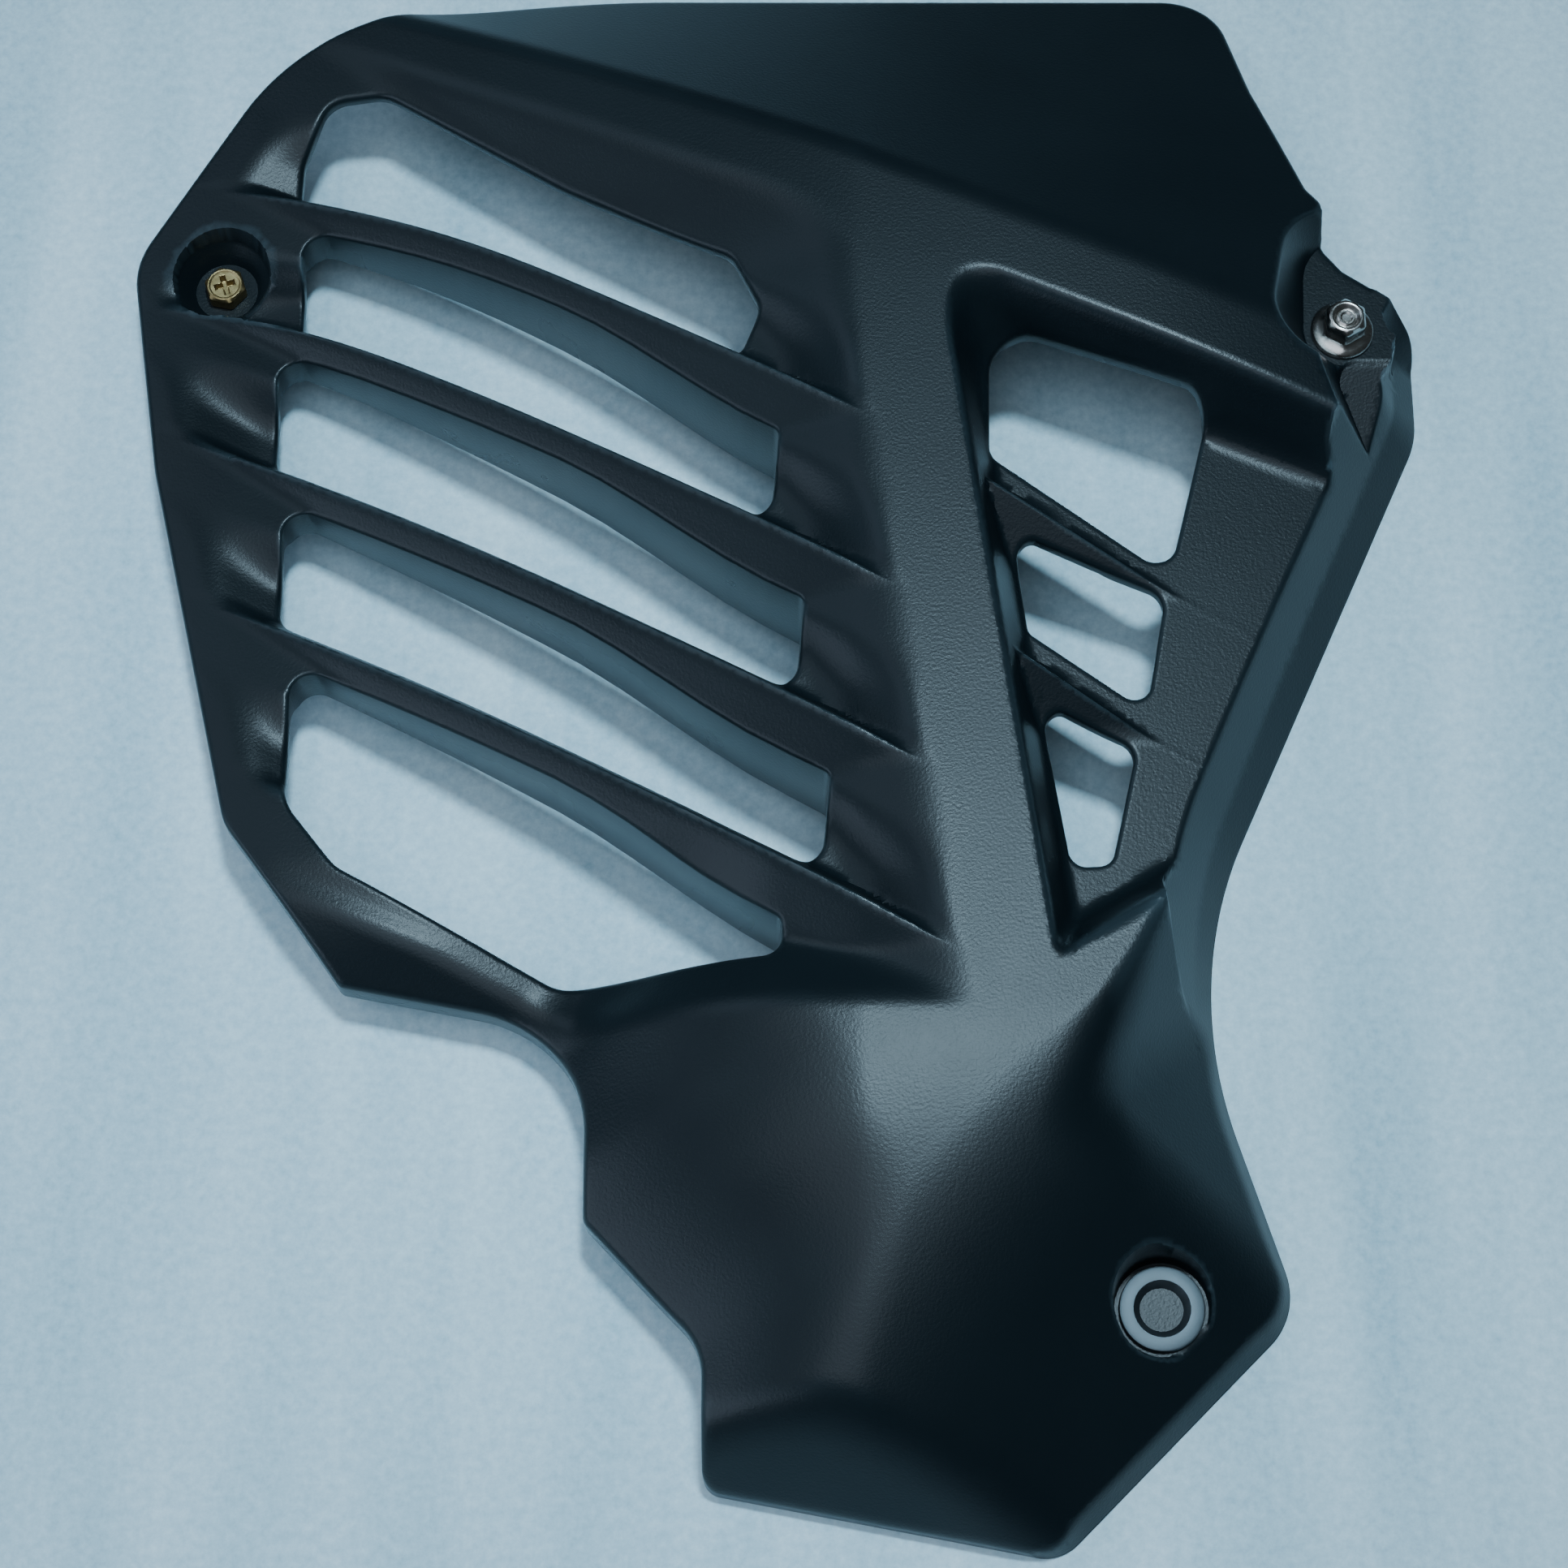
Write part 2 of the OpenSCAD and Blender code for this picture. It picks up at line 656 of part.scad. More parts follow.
module collar_cut() {
    translate([collar_at[0], collar_at[1], collar_top_h - collar_flange_t])
        cylinder(d = collar_flange_d + 2 * flange_gap, h = spine_h);
    translate([collar_at[0], collar_at[1], -cut_margin])
        cylinder(d = collar_tube_d + 2 * collar_gap, h = spine_h);
}

module guard_shell() {
    color(shell_colour)
        difference() {
            intersection() {
                skin_block();
                edge_block(0);
            }
            difference() {
                intersection() {
                    hollow_block();
                    edge_block(wall);
                }
                for (i = [1 : slat_count]) web(i);
                pocket_boss();
                lug_boss();
                collar_boss();
            }
            difference() {
                intersection() {
                    rim_block();
                    free_edge_zone();
                }
                pocket_boss();
            }
            for (i = [0 : slat_count]) slot(i);
            for (corners = panel_openings)
                translate([0, 0, -cut_margin])
                    linear_extrude(block_top)
                        polygon(rounded(corners));
            pocket_cut();
            lug_cut();
            collar_cut();
        }
}

// Screw with a low hexagon head and a cross recess
module pocket_screw() {
    head_r = screw_af / sqrt(3);
    color(zinc_colour)
        translate([pocket_at[0], pocket_at[1], pocket_floor_h])
            difference() {
                union() {
                    translate([0, 0, -screw_len])
                        cylinder(d = screw_d, h = screw_len + screw_head_h / 2);
                    translate([0, 0, -pocket_floor_t - shoulder_out])
                        cylinder(d = screw_d + 2 * shoulder_rise, h = pocket_floor_t + shoulder_out);
                    intersection() {
                        cylinder(r = head_r, h = screw_head_h, $fn = 6);
                        cylinder(r1 = head_r + screw_head_h, r2 = head_r - head_chamfer, h = screw_head_h);
                    }
                }
                for (turn = [0, 90])
                    rotate([0, 0, turn])
                        translate([-cross_l / 2, -cross_w / 2, screw_head_h - cross_depth])
                            cube([cross_l, cross_w, cross_depth + cut_margin]);
            }
}

// Flange bolt with a dished hexagon head
module lug_bolt() {
    head_r = bolt_af / sqrt(3);
    flange_t = 1.6;
    color(steel_colour)
        translate([lug_at[0], lug_at[1], lug_h])
            difference() {
                union() {
                    translate([0, 0, -bolt_len])
                        cylinder(d = bolt_d, h = bolt_len + flange_t);
                    translate([0, 0, -lug_boss_h - shoulder_out])
                        cylinder(d = bolt_d + 2 * shoulder_rise, h = lug_boss_h + shoulder_out);
                    cylinder(d = bolt_flange_d, h = flange_t / 2);
                    translate([0, 0, flange_t / 2])
                        cylinder(d1 = bolt_flange_d, d2 = bolt_af, h = flange_t);
                    intersection() {
                        cylinder(r = head_r, h = bolt_head_h, $fn = 6);
                        cylinder(r1 = head_r + bolt_head_h, r2 = head_r - head_chamfer, h = bolt_head_h);
                    }
                }
                translate([0, 0, bolt_head_h - dish_depth])
                    cylinder(r1 = dish_r - dish_depth, r2 = dish_r, h = dish_depth);
            }
}

// Flanged metal collar that the lower mounting bolt goes through
module collar() {
    color(collar_colour)
        translate([collar_at[0], collar_at[1], collar_top_h - collar_len])
            difference() {
                union() {
                    cylinder(d = collar_tube_d, h = collar_len);
                    translate([0, 0, collar_len - collar_flange_t])
                        cylinder(d = collar_flange_d, h = collar_flange_t);
                }
                translate([0, 0, -cut_margin])
                    cylinder(d = collar_bore_d, h = collar_len + 2 * cut_margin);
            }
}

// The origin lies on the floor under the middle of the outline
module placed() {
    translate([-middle[0], -middle[1], 0])
        children();
}

placed() guard_shell();
placed() pocket_screw();
placed() lug_bolt();
placed() collar();
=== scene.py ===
"""Fan guard of a motorbike, lying face up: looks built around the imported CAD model."""

import math

import bpy
import numpy as np
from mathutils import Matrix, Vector, geometry, kdtree


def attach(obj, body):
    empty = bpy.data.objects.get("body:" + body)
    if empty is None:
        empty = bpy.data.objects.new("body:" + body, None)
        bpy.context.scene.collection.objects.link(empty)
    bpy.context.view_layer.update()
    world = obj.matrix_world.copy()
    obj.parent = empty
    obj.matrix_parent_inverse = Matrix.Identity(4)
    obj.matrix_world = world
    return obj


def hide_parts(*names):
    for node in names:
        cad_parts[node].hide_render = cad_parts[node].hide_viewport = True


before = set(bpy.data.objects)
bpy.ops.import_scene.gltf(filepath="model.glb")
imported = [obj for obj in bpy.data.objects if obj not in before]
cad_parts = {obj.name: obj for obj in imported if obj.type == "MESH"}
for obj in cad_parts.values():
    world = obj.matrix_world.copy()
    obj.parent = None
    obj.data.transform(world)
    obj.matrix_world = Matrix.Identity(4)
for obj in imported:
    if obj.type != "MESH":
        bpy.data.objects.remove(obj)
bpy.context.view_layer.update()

# Camera: it leans about 20 degrees from straight above, as the upright webs and the bolt heads show.
TILT = math.radians(20)
CAMERA_DISTANCE = 0.660
CAMERA_TARGET = Vector((0.00156, -0.01896, 0.020))
FOCAL_PIXELS = 4080
PHOTO_PIXELS = 1932

camera_data = bpy.data.cameras.new("photo_camera")
camera_data.sensor_fit = "HORIZONTAL"
camera_data.sensor_width = 36.0
camera_data.lens = 36.0 * FOCAL_PIXELS / PHOTO_PIXELS
camera_data.clip_start = 0.01
camera = bpy.data.objects.new("photo_camera", camera_data)
bpy.context.scene.collection.objects.link(camera)
look = Vector((0, math.sin(TILT), -math.cos(TILT)))
camera.location = CAMERA_TARGET - look * CAMERA_DISTANCE
camera.rotation_euler = (TILT, 0, 0)
bpy.context.scene.camera = camera


# Guard shell. One injection moulding in black ABS with a fine spark-eroded grain. The skin is a single
# sculpted sheet about 2.4 mm thick; louvres, webs, recess, pocket, lug and rim all belong to it, so it is
# one closed mesh from the CAD's height formula, with softer creases down the leg. Sizes are in millimetres.
WALL = 2.4
GUARD_W, GUARD_L, SPINE_H = 273.0, 336.0, 42.0
LEFT_FALL, LEG_FALL = 28.0, 9.0
WING_EDGE_H, CREASE_Y, CREASE_SLOPE = 12.0, 113.0, 0.433
SLATS, SLAT_PITCH, SLAT_Y, SLAT_SLOPE, SLAT_PIVOT_X = 4, 34.4, 86.5, 0.56, -42.5
FACE_SLOPE, LIP_SLOPE, LIP_W, LOUVRE_DEPTH = 0.58, 2.2, 3.0, 9.0
WEB_FOOT_H = 10.0
PANEL_H, PANEL_SLOPE, BAR_RISE, BAR_SHIFT, BAR_SINK = 27.0, 0.05, 9.0, 2.0, 0.8
BAR_ROOTS_X, BAR_TIPS_X = (43.5, 48.5), (82, 76)
STRIP_H, STRIP_W_TOP, STRIP_W_FOOT, STRIP_BITE, BAND_W = 9.0, 6.0, 3.8, 1, 1.0
FLANK_TOP_H, FLANK_SLOPE, HIP_SLOPE, TOE_SLOPE = 33.0, 2.3, 1.1, 0.70
FOOT_EDGE_H, FOOT_SLOPE = 5, 1.7
RIM_H = 6.5
POCKET_AT, POCKET_FLOOR_H = (-118.0, 97.5), 8.5
POCKET_FLOOR_R, POCKET_MOUTH_R, POCKET_RISE = 6.6, 9.8, 5.0
LUG_AT, LUG_H, LUG_R, LUG_LIFT = (118.5, 82.0), 20.0, 8.2, 14
EAR_LIFT, EAR_RUN = 26, 10.5
COLLAR_AT, COLLAR_TOP_H, COLLAR_FLANGE_R, COLLAR_FLANGE_T = (73.5, -123.0), 14.0, 8.25, 1.6
COLLAR_POCKET_R = COLLAR_FLANGE_R + 1.3

# Lines that the louvres and the recess end at
SPINE_LEAN, SPINE_LEFT_X, SPINE_RIGHT_X, SPINE_TOP_X = 0.138, 24, 45.2, 16.5
LOUVRE_LEFT_X, LOUVRE_LEFT_LEAN, LOUVRE_INSET = -109, 0.24, 9
LOUVRE_TOP_Y, LOUVRE_TOP_SLOPE = 124, 0.46
LOUVRE_FOOT_X, LOUVRE_FOOT_Y, LOUVRE_FOOT_SLOPE = -39.5, -69, 0.5
RECESS_TOP_X, RECESS_TOP_Y = 42.5, 85
RECESS_FOOT_X, RECESS_FOOT_Y, RECESS_FOOT_SLOPE = 59.5, -57, 0.6
SPINE_WALL_SLOPE, WING_WALL_SLOPE, FOOT_WALL_SLOPE = 2.8, 1.8, 2.0
RECESS_CORNER, RECESS_FOOT_CORNER = 40, 8

# Corners of the outline with their radii, counter-clockwise from the lower left point
CORNERS = [
    (-86, -59.5, 2), (-37, -69, 26), (-37, -107, 3), (-14, -131.5, 14), (-14, 12 - GUARD_L / 2, 4),
    (54, -GUARD_L / 2 - 0.8, 9), (102, -121.5, 14), (81.3, -55, 88), (GUARD_W / 2, 66, 20),
    (GUARD_W / 2, 85, 6), (119.5, 96.5, 5), (115.5, 101.5, 4), (114.3, 108.5, 3), (111.5, 112, 3),
    (102, 140, 30), (95.5, GUARD_L / 2, 14), (-42, GUARD_L / 2, 130), (-106, 149.5, 45),
    (-GUARD_W / 2 - 0.9, 101.5, 16), (-129.5, 52, 60), (-110, -27, 12),
]
# Indices of the corners that the facets of the shell start from
NOTCH, LEG, STEP, FOOT, TOE, HIP, NECK = 0, 1, 2, 4, 5, 6, 7
SHOULDER = 17


def ease(v):
    t = np.clip(v, 0, 1)
    return t * t * (3 - 2 * t)


def mix(a, b, t):
    return a + (b - a) * t


def soft_min(a, b, r):
    h = np.maximum(r - np.abs(a - b), 0) / r
    return np.minimum(a, b) - h * h * r / 4


def soft_max(a, b, r):
    return -soft_min(-a, -b, r)


def rounded(corners, arc_degrees=5.0, spacing=1.6):
    """Points along an outline whose corners are (x, y, radius); a radius of nought keeps the point."""
    out = []
    n = len(corners)
    for i, (x, y, r) in enumerate(corners):
        here = np.array((x, y), float)
        if r == 0:
            out.append(here)
            continue
        a = np.array(corners[i - 1][:2], float) - here
        b = np.array(corners[(i + 1) % n][:2], float) - here
        a /= np.linalg.norm(a)
        b /= np.linalg.norm(b)
        half = math.acos(np.clip(a @ b, -1, 1)) / 2
        side = -1 if a[0] * b[1] - a[1] * b[0] > 0 else 1
        start = here + a * r / math.tan(half)
        centre = start + np.array((a[1], -a[0])) * side * r
        bend = math.pi - 2 * half
        steps = max(2, math.ceil(math.degrees(bend) / arc_degrees), math.ceil(bend * r / spacing))
        for k in range(steps + 1):
            angle = side * bend * k / steps
            arm = start - centre
            c, s = math.cos(angle), math.sin(angle)
            out.append(centre + np.array((arm[0] * c - arm[1] * s, arm[0] * s + arm[1] * c)))
    filled = []
    for i, p in enumerate(out):
        q = out[(i + 1) % len(out)]
        length = np.linalg.norm(q - p)
        if length < 1e-6:
            continue
        parts = max(1, math.ceil(length / spacing))
        filled += [p + (q - p) * k / parts for k in range(parts)]
    return np.array(filled)


def inward(loop):
    """Unit normals to the left of a counter-clockwise loop."""
    along = np.roll(loop, -1, axis=0) - np.roll(loop, 1, axis=0)
    along /= np.linalg.norm(along, axis=1)[:, None]
    return np.stack([-along[:, 1], along[:, 0]], axis=1)


def edge_facet(x, y, i, edge_h, slope, inset=0.0):
    (ax, ay), (bx, by) = CORNERS[i][:2], CORNERS[(i + 1) % len(CORNERS)][:2]
    length = math.hypot(bx - ax, by - ay)
    distance = (-(by - ay) * (x - ax) + (bx - ax) * (y - ay)) / length
    return edge_h + slope * (distance - inset)


def face_height(x, y):
    left = np.maximum(0, SPINE_TOP_X - x) / (SPINE_TOP_X + GUARD_W / 2)
    right = np.maximum(0, x - 70) / 50
    leg = np.maximum(0, LOUVRE_FOOT_Y - y) / 75
    return SPINE_H - LEFT_FALL * left ** 1.3 - 5 * right ** 2 - LEG_FALL * leg ** 2


def crease_line(x):
    return CREASE_Y - CREASE_SLOPE * (x - SPINE_TOP_X)


def winged(x, y, face):
    past = soft_max(y - crease_line(x), 0, 3)
    return mix(face, WING_EDGE_H, np.maximum(0, past / (GUARD_L / 2 - crease_line(x))))


def left_roll(x, y):
    notch = edge_facet(x, y, NOTCH, 15, 0.7)
    leg = edge_facet(x, y, LEG, 20, 0.75)
    step = edge_facet(x, y, STEP, 18, 0.8)
    foot = edge_facet(x, y, STEP + 1, 22, 0.9)
    return soft_max(notch, soft_min(leg, soft_max(step, foot, 6), 6), 8)


def leg_fall_height(x, y):
    toe = edge_facet(x, y, TOE, STRIP_H - STRIP_BITE, TOE_SLOPE, STRIP_W_FOOT)
    hip = edge_facet(x, y, HIP, STRIP_H - STRIP_BITE, HIP_SLOPE, STRIP_W_FOOT)
    side = edge_facet(x, y, NECK, STRIP_H + LUG_LIFT * ease((y - 20) / 30), FLANK_SLOPE, -STRIP_W_TOP)
    return soft_min(toe, soft_max(hip, side, 8), 10)


# Slats: w counts along y with the slope and the bow of the slats taken out
def slat_bow(y):
    return 0.0007 + 0.0014 * ease((y - 70) / 40)


def slat_y_at(x, w):
    y = w - SLAT_SLOPE * (x - SLAT_PIVOT_X)
    return y - slat_bow(y) * np.minimum(0, x - SLAT_PIVOT_X) ** 2


def slat_w(x, y):
    return y + SLAT_SLOPE * (x - SLAT_PIVOT_X) + slat_bow(y) * np.minimum(0, x - SLAT_PIVOT_X) ** 2


def ridge_w(i):
    return SLAT_Y - SLAT_PITCH * i


def ridge_drop(off):
    return soft_max(FACE_SLOPE * off, -LIP_SLOPE * off, 1.2)


def louvre_drop(x, y):
    w = slat_w(x, y)
    along = np.maximum(-1, (SLAT_Y - w) / SLAT_PITCH)
    part = along - np.floor(along)
    trench = ease((part - 0.35) / 0.4) * ease((1 - part) / 0.1)
    right = (SPINE_LEFT_X - SPINE_LEAN * y - x) * (0.34 + 0.3 * trench)
    shoulder = edge_facet(x, y, SHOULDER, 0, 1) - LOUVRE_INSET
    left = np.minimum(x - LOUVRE_LEFT_X + LOUVRE_LEFT_LEAN * y, shoulder) * (0.14 + 0.33 * trench)
    top = FACE_SLOPE * (LOUVRE_TOP_Y - LOUVRE_TOP_SLOPE * (x - SLAT_PIVOT_X) - y)
    foot = 0.6 * (y - LOUVRE_FOOT_Y - LOUVRE_FOOT_SLOPE * np.maximum(0, LOUVRE_FOOT_X - x))
    slats = np.min([ridge_drop(ridge_w(i) - w) for i in range(SLATS)], axis=0)
    border = soft_min(soft_min(right, top, 6), soft_min(left, foot, 2), 2)
    return soft_max(0, soft_min(soft_min(slats, border, 1), LOUVRE_DEPTH, 3), 1.6)


def bar_height(x, y, i):
    root, tip = BAR_ROOTS_X[i], BAR_TIPS_X[i]
    sink = np.clip((x - root) / (tip - root), 0, 1)
    off = ridge_w(i) + BAR_SHIFT - slat_w(x, y)
    return PANEL_H - PANEL_SLOPE * (x - SPINE_RIGHT_X) + BAR_RISE * (1 - sink) - BAR_SINK - ridge_drop(off)


def recessed(x, y, face):
    beside = SPINE_WALL_SLOPE * (x - SPINE_RIGHT_X + SPINE_LEAN * y)
    under = WING_WALL_SLOPE * (RECESS_TOP_Y - CREASE_SLOPE * (x - RECESS_TOP_X) - y)
    foot = FOOT_WALL_SLOPE * (y - RECESS_FOOT_Y - RECESS_FOOT_SLOPE * (x - RECESS_FOOT_X))
    walls = face - soft_min(soft_min(beside, under, RECESS_CORNER), foot, RECESS_FOOT_CORNER)
    panel = PANEL_H - PANEL_SLOPE * (x - SPINE_RIGHT_X)
    bars = np.maximum(bar_height(x, y, 0), bar_height(x, y, 1))
    return soft_min(face, soft_max(soft_max(panel, walls, 4), bars, 1.4), 3.2)


def skin_height(x, y):
    face = winged(x, y, face_height(x, y))
    moulding_radius = mix(12, 3, ease((y + 80) / 30))
    roll_radius = mix(18, 8, ease((y + 85) / 30))
    face = soft_min(soft_min(face, left_roll(x, y), roll_radius), leg_fall_height(x, y), moulding_radius)
    face = soft_min(face, edge_facet(x, y, FOOT, FOOT_EDGE_H, FOOT_SLOPE), 9)
    return recessed(x, y, face) - louvre_drop(x, y)


outline = rounded(CORNERS)
outline_in = inward(outline)
MIDDLE = (outline.min(axis=0) + outline.max(axis=0)) / 2


def strip_width(p):
    right = ease((p[:, 0] - 48) / 12) * (1 - ease((p[:, 1] - 87) / 6))
    return mix(BAND_W, mix(STRIP_W_FOOT, STRIP_W_TOP, ease((p[:, 1] + 90) / 110)), right), right


def flank_width(p):
    inner = ease((p[:, 0] - 60) / 12) * ease((p[:, 1] + 78) / 40) * (1 - ease((p[:, 1] - 60) / 20))
    return (FLANK_TOP_H - STRIP_H) / FLANK_SLOPE * inner


def point_tree(points):
    """Finds the nearest of some flat points by their order."""
    tree = kdtree.KDTree(len(points))
    for i, p in enumerate(points):
        tree.insert((p[0], p[1], 0), i)
    tree.balance()
    return tree


outline_strip, outline_right = strip_width(outline)
outline_flank = flank_width(outline)
outline_tree = point_tree(outline)
# Above this share the outline belongs to the right side, with its drafted strip
RIGHT_SIDE = 0.02


def drafted_height(d, strip, flank):
    """Height of the drafted strip, and of the flank over it, at a distance from the right edge."""
    h = STRIP_H * d / strip
    h = np.where(d > strip, STRIP_H + (d - strip) * FLANK_SLOPE, h)
    return np.where(d > strip + flank, STRIP_H + flank * FLANK_SLOPE + (d - strip - flank) * 14, h)


def outline_limit(x, y):
    """Height that the drafted strip and the flank allow at each point."""
    index = np.array([outline_tree.find((a, b, 0))[1] for a, b in zip(x, y)])
    at = np.stack([x, y], axis=1)
    d = np.full(len(x), 1e9)
    strip, flank = outline_strip[index], outline_flank[index]
    for step in (-1, 1):
        other = (index + step) % len(outline)
        side = outline[other] - outline[index]
        along = np.clip(((at - outline[index]) * side).sum(axis=1) / (side ** 2).sum(axis=1), 0, 1)
        reach = np.linalg.norm(at - outline[index] - side * along[:, None], axis=1)
        closer = reach < d
        d = np.where(closer, reach, d)
        strip = np.where(closer, mix(outline_strip[index], outline_strip[other], along), strip)
        flank = np.where(closer, mix(outline_flank[index], outline_flank[other], along), flank)
    ear_lift = EAR_LIFT * np.clip((y - LUG_AT[1]) / EAR_RUN, 0, 1)
    return np.where(outline_right[index] > RIGHT_SIDE, drafted_height(d, strip, flank) + ear_lift, 999.0)


LUG_FACE = [(0, 0, LUG_R), (2.5, 12, 10), (26, 0, LUG_R)]
LUG_TAIL = [(3, -11, 4), (26, -11, 4), (6.5, -25, 1.5)]
LUG_TAIL_DROP, LUG_WALL_SLOPE = 7.0, 24 / 11
headings = np.linspace(0, 2 * math.pi, 120, endpoint=False)
DIRECTIONS = np.stack([np.cos(headings), np.sin(headings)], axis=1)


def hull_distance(spots, x, y):
    """Distance outside the hull of some circles round the lug bolt; it is negative within."""
    spots = np.array(spots, float)
    support = (DIRECTIONS @ spots[:, :2].T + spots[:, 2]).max(axis=1)
    best = np.full(np.shape(x), -1e9)
    for (dx, dy), reach in zip(DIRECTIONS, support):
        best = np.maximum(best, dx * (x - LUG_AT[0]) + dy * (y - LUG_AT[1]) - reach)
    return best


def lug_dish(x, y):
    face = LUG_H + np.maximum(0, hull_distance(LUG_FACE, x, y)) * LUG_WALL_SLOPE
    fall = LUG_TAIL_DROP * np.clip((LUG_AT[1] - 7 - y) / 19, 0, 1)
    tail = LUG_H - fall + np.maximum(0, hull_distance(LUG_TAIL, x, y)) * (LUG_WALL_SLOPE + 0.5)
    return soft_min(face, tail, 0.6)


def stamped(x, y, z):
    """Presses the pocket, the lug's seat and the collar's pocket into the skin, without their holes."""
    r = np.hypot(x - POCKET_AT[0], y - POCKET_AT[1])
    beyond_floor = np.maximum(0, r - POCKET_FLOOR_R)
    cone = POCKET_FLOOR_H + beyond_floor * POCKET_RISE / (POCKET_MOUTH_R - POCKET_FLOOR_R)
    z = soft_min(z, cone + np.maximum(0, r - POCKET_MOUTH_R) * 8, 1.2)
    near = (x > 96) & (y > 48)
    z = np.array(z)
    z[near] = soft_min(z[near], lug_dish(x[near], y[near]), 0.8)
    r = np.hypot(x - COLLAR_AT[0], y - COLLAR_AT[1])
    floor_h = COLLAR_TOP_H - COLLAR_FLANGE_T
    return soft_min(z, floor_h + np.maximum(0, r - COLLAR_POCKET_R + 0.3) * 12, 0.8)


def top_height(x, y):
    return stamped(x, y, soft_min(skin_height(x, y), outline_limit(x, y), 1.6))


def face_width(x):
    return 5.5 + 5 * ease((x + 45) / 45)


def slot_upper(i, x):
    return slat_y_at(x, ridge_w(i - 1) - face_width(x))


def slot_lower(i, x):
    return slat_y_at(x, ridge_w(i) + LIP_W)


# Slots between the slats, from the top slot down: where each one starts and ends
SLOT_STARTS_X = (-102, -100.5, -104.5, -101.5, -98)
SLOT_ENDS_X = (-3.5, 0.5, 5.5, 10.5, 1)
TOP_SLOT_BORDER = [
    (-3.5, 81, 4), (-9.5, 93, 7), (-44.5, 112, 60), (-84, 137, 8), (-96, 136, 6), (-101.5, 123, 8),
]
FOOT_SLOT_BORDER = [(-98, -23, 12), (-87, -37, 10), (-43, -60.5, 10), (-37, -60.5, 14), (1, -58.5, 4)]


def slot_corners(i):
    start, end = SLOT_STARTS_X[i], SLOT_ENDS_X[i]
    lower = [(start, slot_lower(i, start), 4)] + [
        (x, slot_lower(i, x), 0) for x in np.linspace(start + 9, end - 13, 12)
    ] + [(end - 2, slot_lower(i, end - 2), 4.5)]
    upper = [(end, slot_upper(i, end), 2.5)] + [
        (x, slot_upper(i, x), 0) for x in np.linspace(end - 8, start + 10, 12)
    ] + [(start, slot_upper(i, start), 4.5)]
    if i == 0:
        upper = TOP_SLOT_BORDER
        lower[0] = (start, slot_lower(i, start), 2)
        lower[-1] = (-8, slot_lower(i, -8), 3)
    if i == SLATS:
        lower = FOOT_SLOT_BORDER
    return [(float(x), float(y), r) for x, y, r in lower + upper]


slot_loops = [rounded(slot_corners(i)) for i in range(SLATS + 1)]
PANEL_OPENINGS = [
    [(44, 78.5, 7), (43.5, 50, 3), (79.5, 24, 4.5), (89, 61, 7)],
    [(48, 31.5, 3), (50.5, 11, 3), (73.8, -5.5, 3.5), (78.5, 19.5, 4.5)],
    [(52.5, -5, 3), (57.8, -38.5, 3.5), (65.8, -38, 3.5), (71.5, -13.5, 4)],
]
panel_loops = [rounded(corners, spacing=0.6) for corners in PANEL_OPENINGS]


def inside(loop, x, y):
    """Even-odd test of many points against one loop."""
    result = np.zeros(len(x), bool)
    a, b = loop, np.roll(loop, -1, axis=0)
    for (ax, ay), (bx, by) in zip(a, b):
        if ay != by:
            result ^= ((ay > y) != (by > y)) & (x < ax + (bx - ax) * (y - ay) / (by - ay))
    return result


def triangulated(points, edges, outer, holes):
    """Triangles of the region between the outer loop and the holes."""
    coords, _, faces, _, _, _ = geometry.delaunay_2d_cdt([Vector(p) for p in points], edges, [], 0, 1e-7)
    xy = np.array([(c.x, c.y) for c in coords])
    tris = np.array(faces)
    mid = xy[tris].mean(axis=1)
    keep = inside(outer, mid[:, 0], mid[:, 1])
    for loop in holes:
        keep &= ~inside(loop, mid[:, 0], mid[:, 1])
    return xy, tris[keep]


def spaced(start, end, spacing, dense=()):
    """Values from start to end, closer together near the given ones."""
    values = [start]
    while values[-1] < end:
        here = values[-1]
        gap = min([abs(here - d) for d in dense] + [99])
        values.append(here + (0.45 if gap < 1.8 else 0.8 if gap < 4 else spacing))
    return np.array(values)


def skin_lattice(spacing):
    """Points in rows that run with the slats and in columns that run with the spine."""
    ridges = [ridge_w(i) for i in range(SLATS)]
    ws = np.concatenate([spaced(-240, SLAT_Y + 3, spacing, ridges), spaced(SLAT_Y + 4, 290, spacing)])
    us = spaced(-175, 175, spacing, (SPINE_RIGHT_X + 0.3, SPINE_RIGHT_X + 4.8))
    u, w = np.meshgrid(us, ws)
    u, w = u.ravel(), w.ravel()
    above = mix(SLAT_SLOPE, CREASE_SLOPE, ease((w - SLAT_Y) / (LOUVRE_TOP_Y - SLAT_Y)))
    below = mix(SLAT_SLOPE, 0.25, ease((ridge_w(SLATS - 1) - w) / 120))
    slope = np.where(w > SLAT_Y, above, below)
    x = u.copy()
    for _ in range(8):
        y = w - slope * (x - SLAT_PIVOT_X)
        y = y - slat_bow(y) * np.minimum(0, x - SLAT_PIVOT_X) ** 2
        x = u - SPINE_LEAN * y
    return np.stack([x, y], axis=1)


def ring_points(centre, radii, steps):
    turn = np.linspace(0, 2 * math.pi, steps, endpoint=False)
    return np.concatenate([
        np.stack([centre[0] + r * np.cos(turn), centre[1] + r * np.sin(turn)], axis=1) for r in radii
    ])


# The edge is rolled over in these steps, and the wall ring is where the underside begins.
EDGE_RINGS = (0.0, 0.08, 0.25, 0.5, 0.85, 1.3)
WALL_RING = 1.8

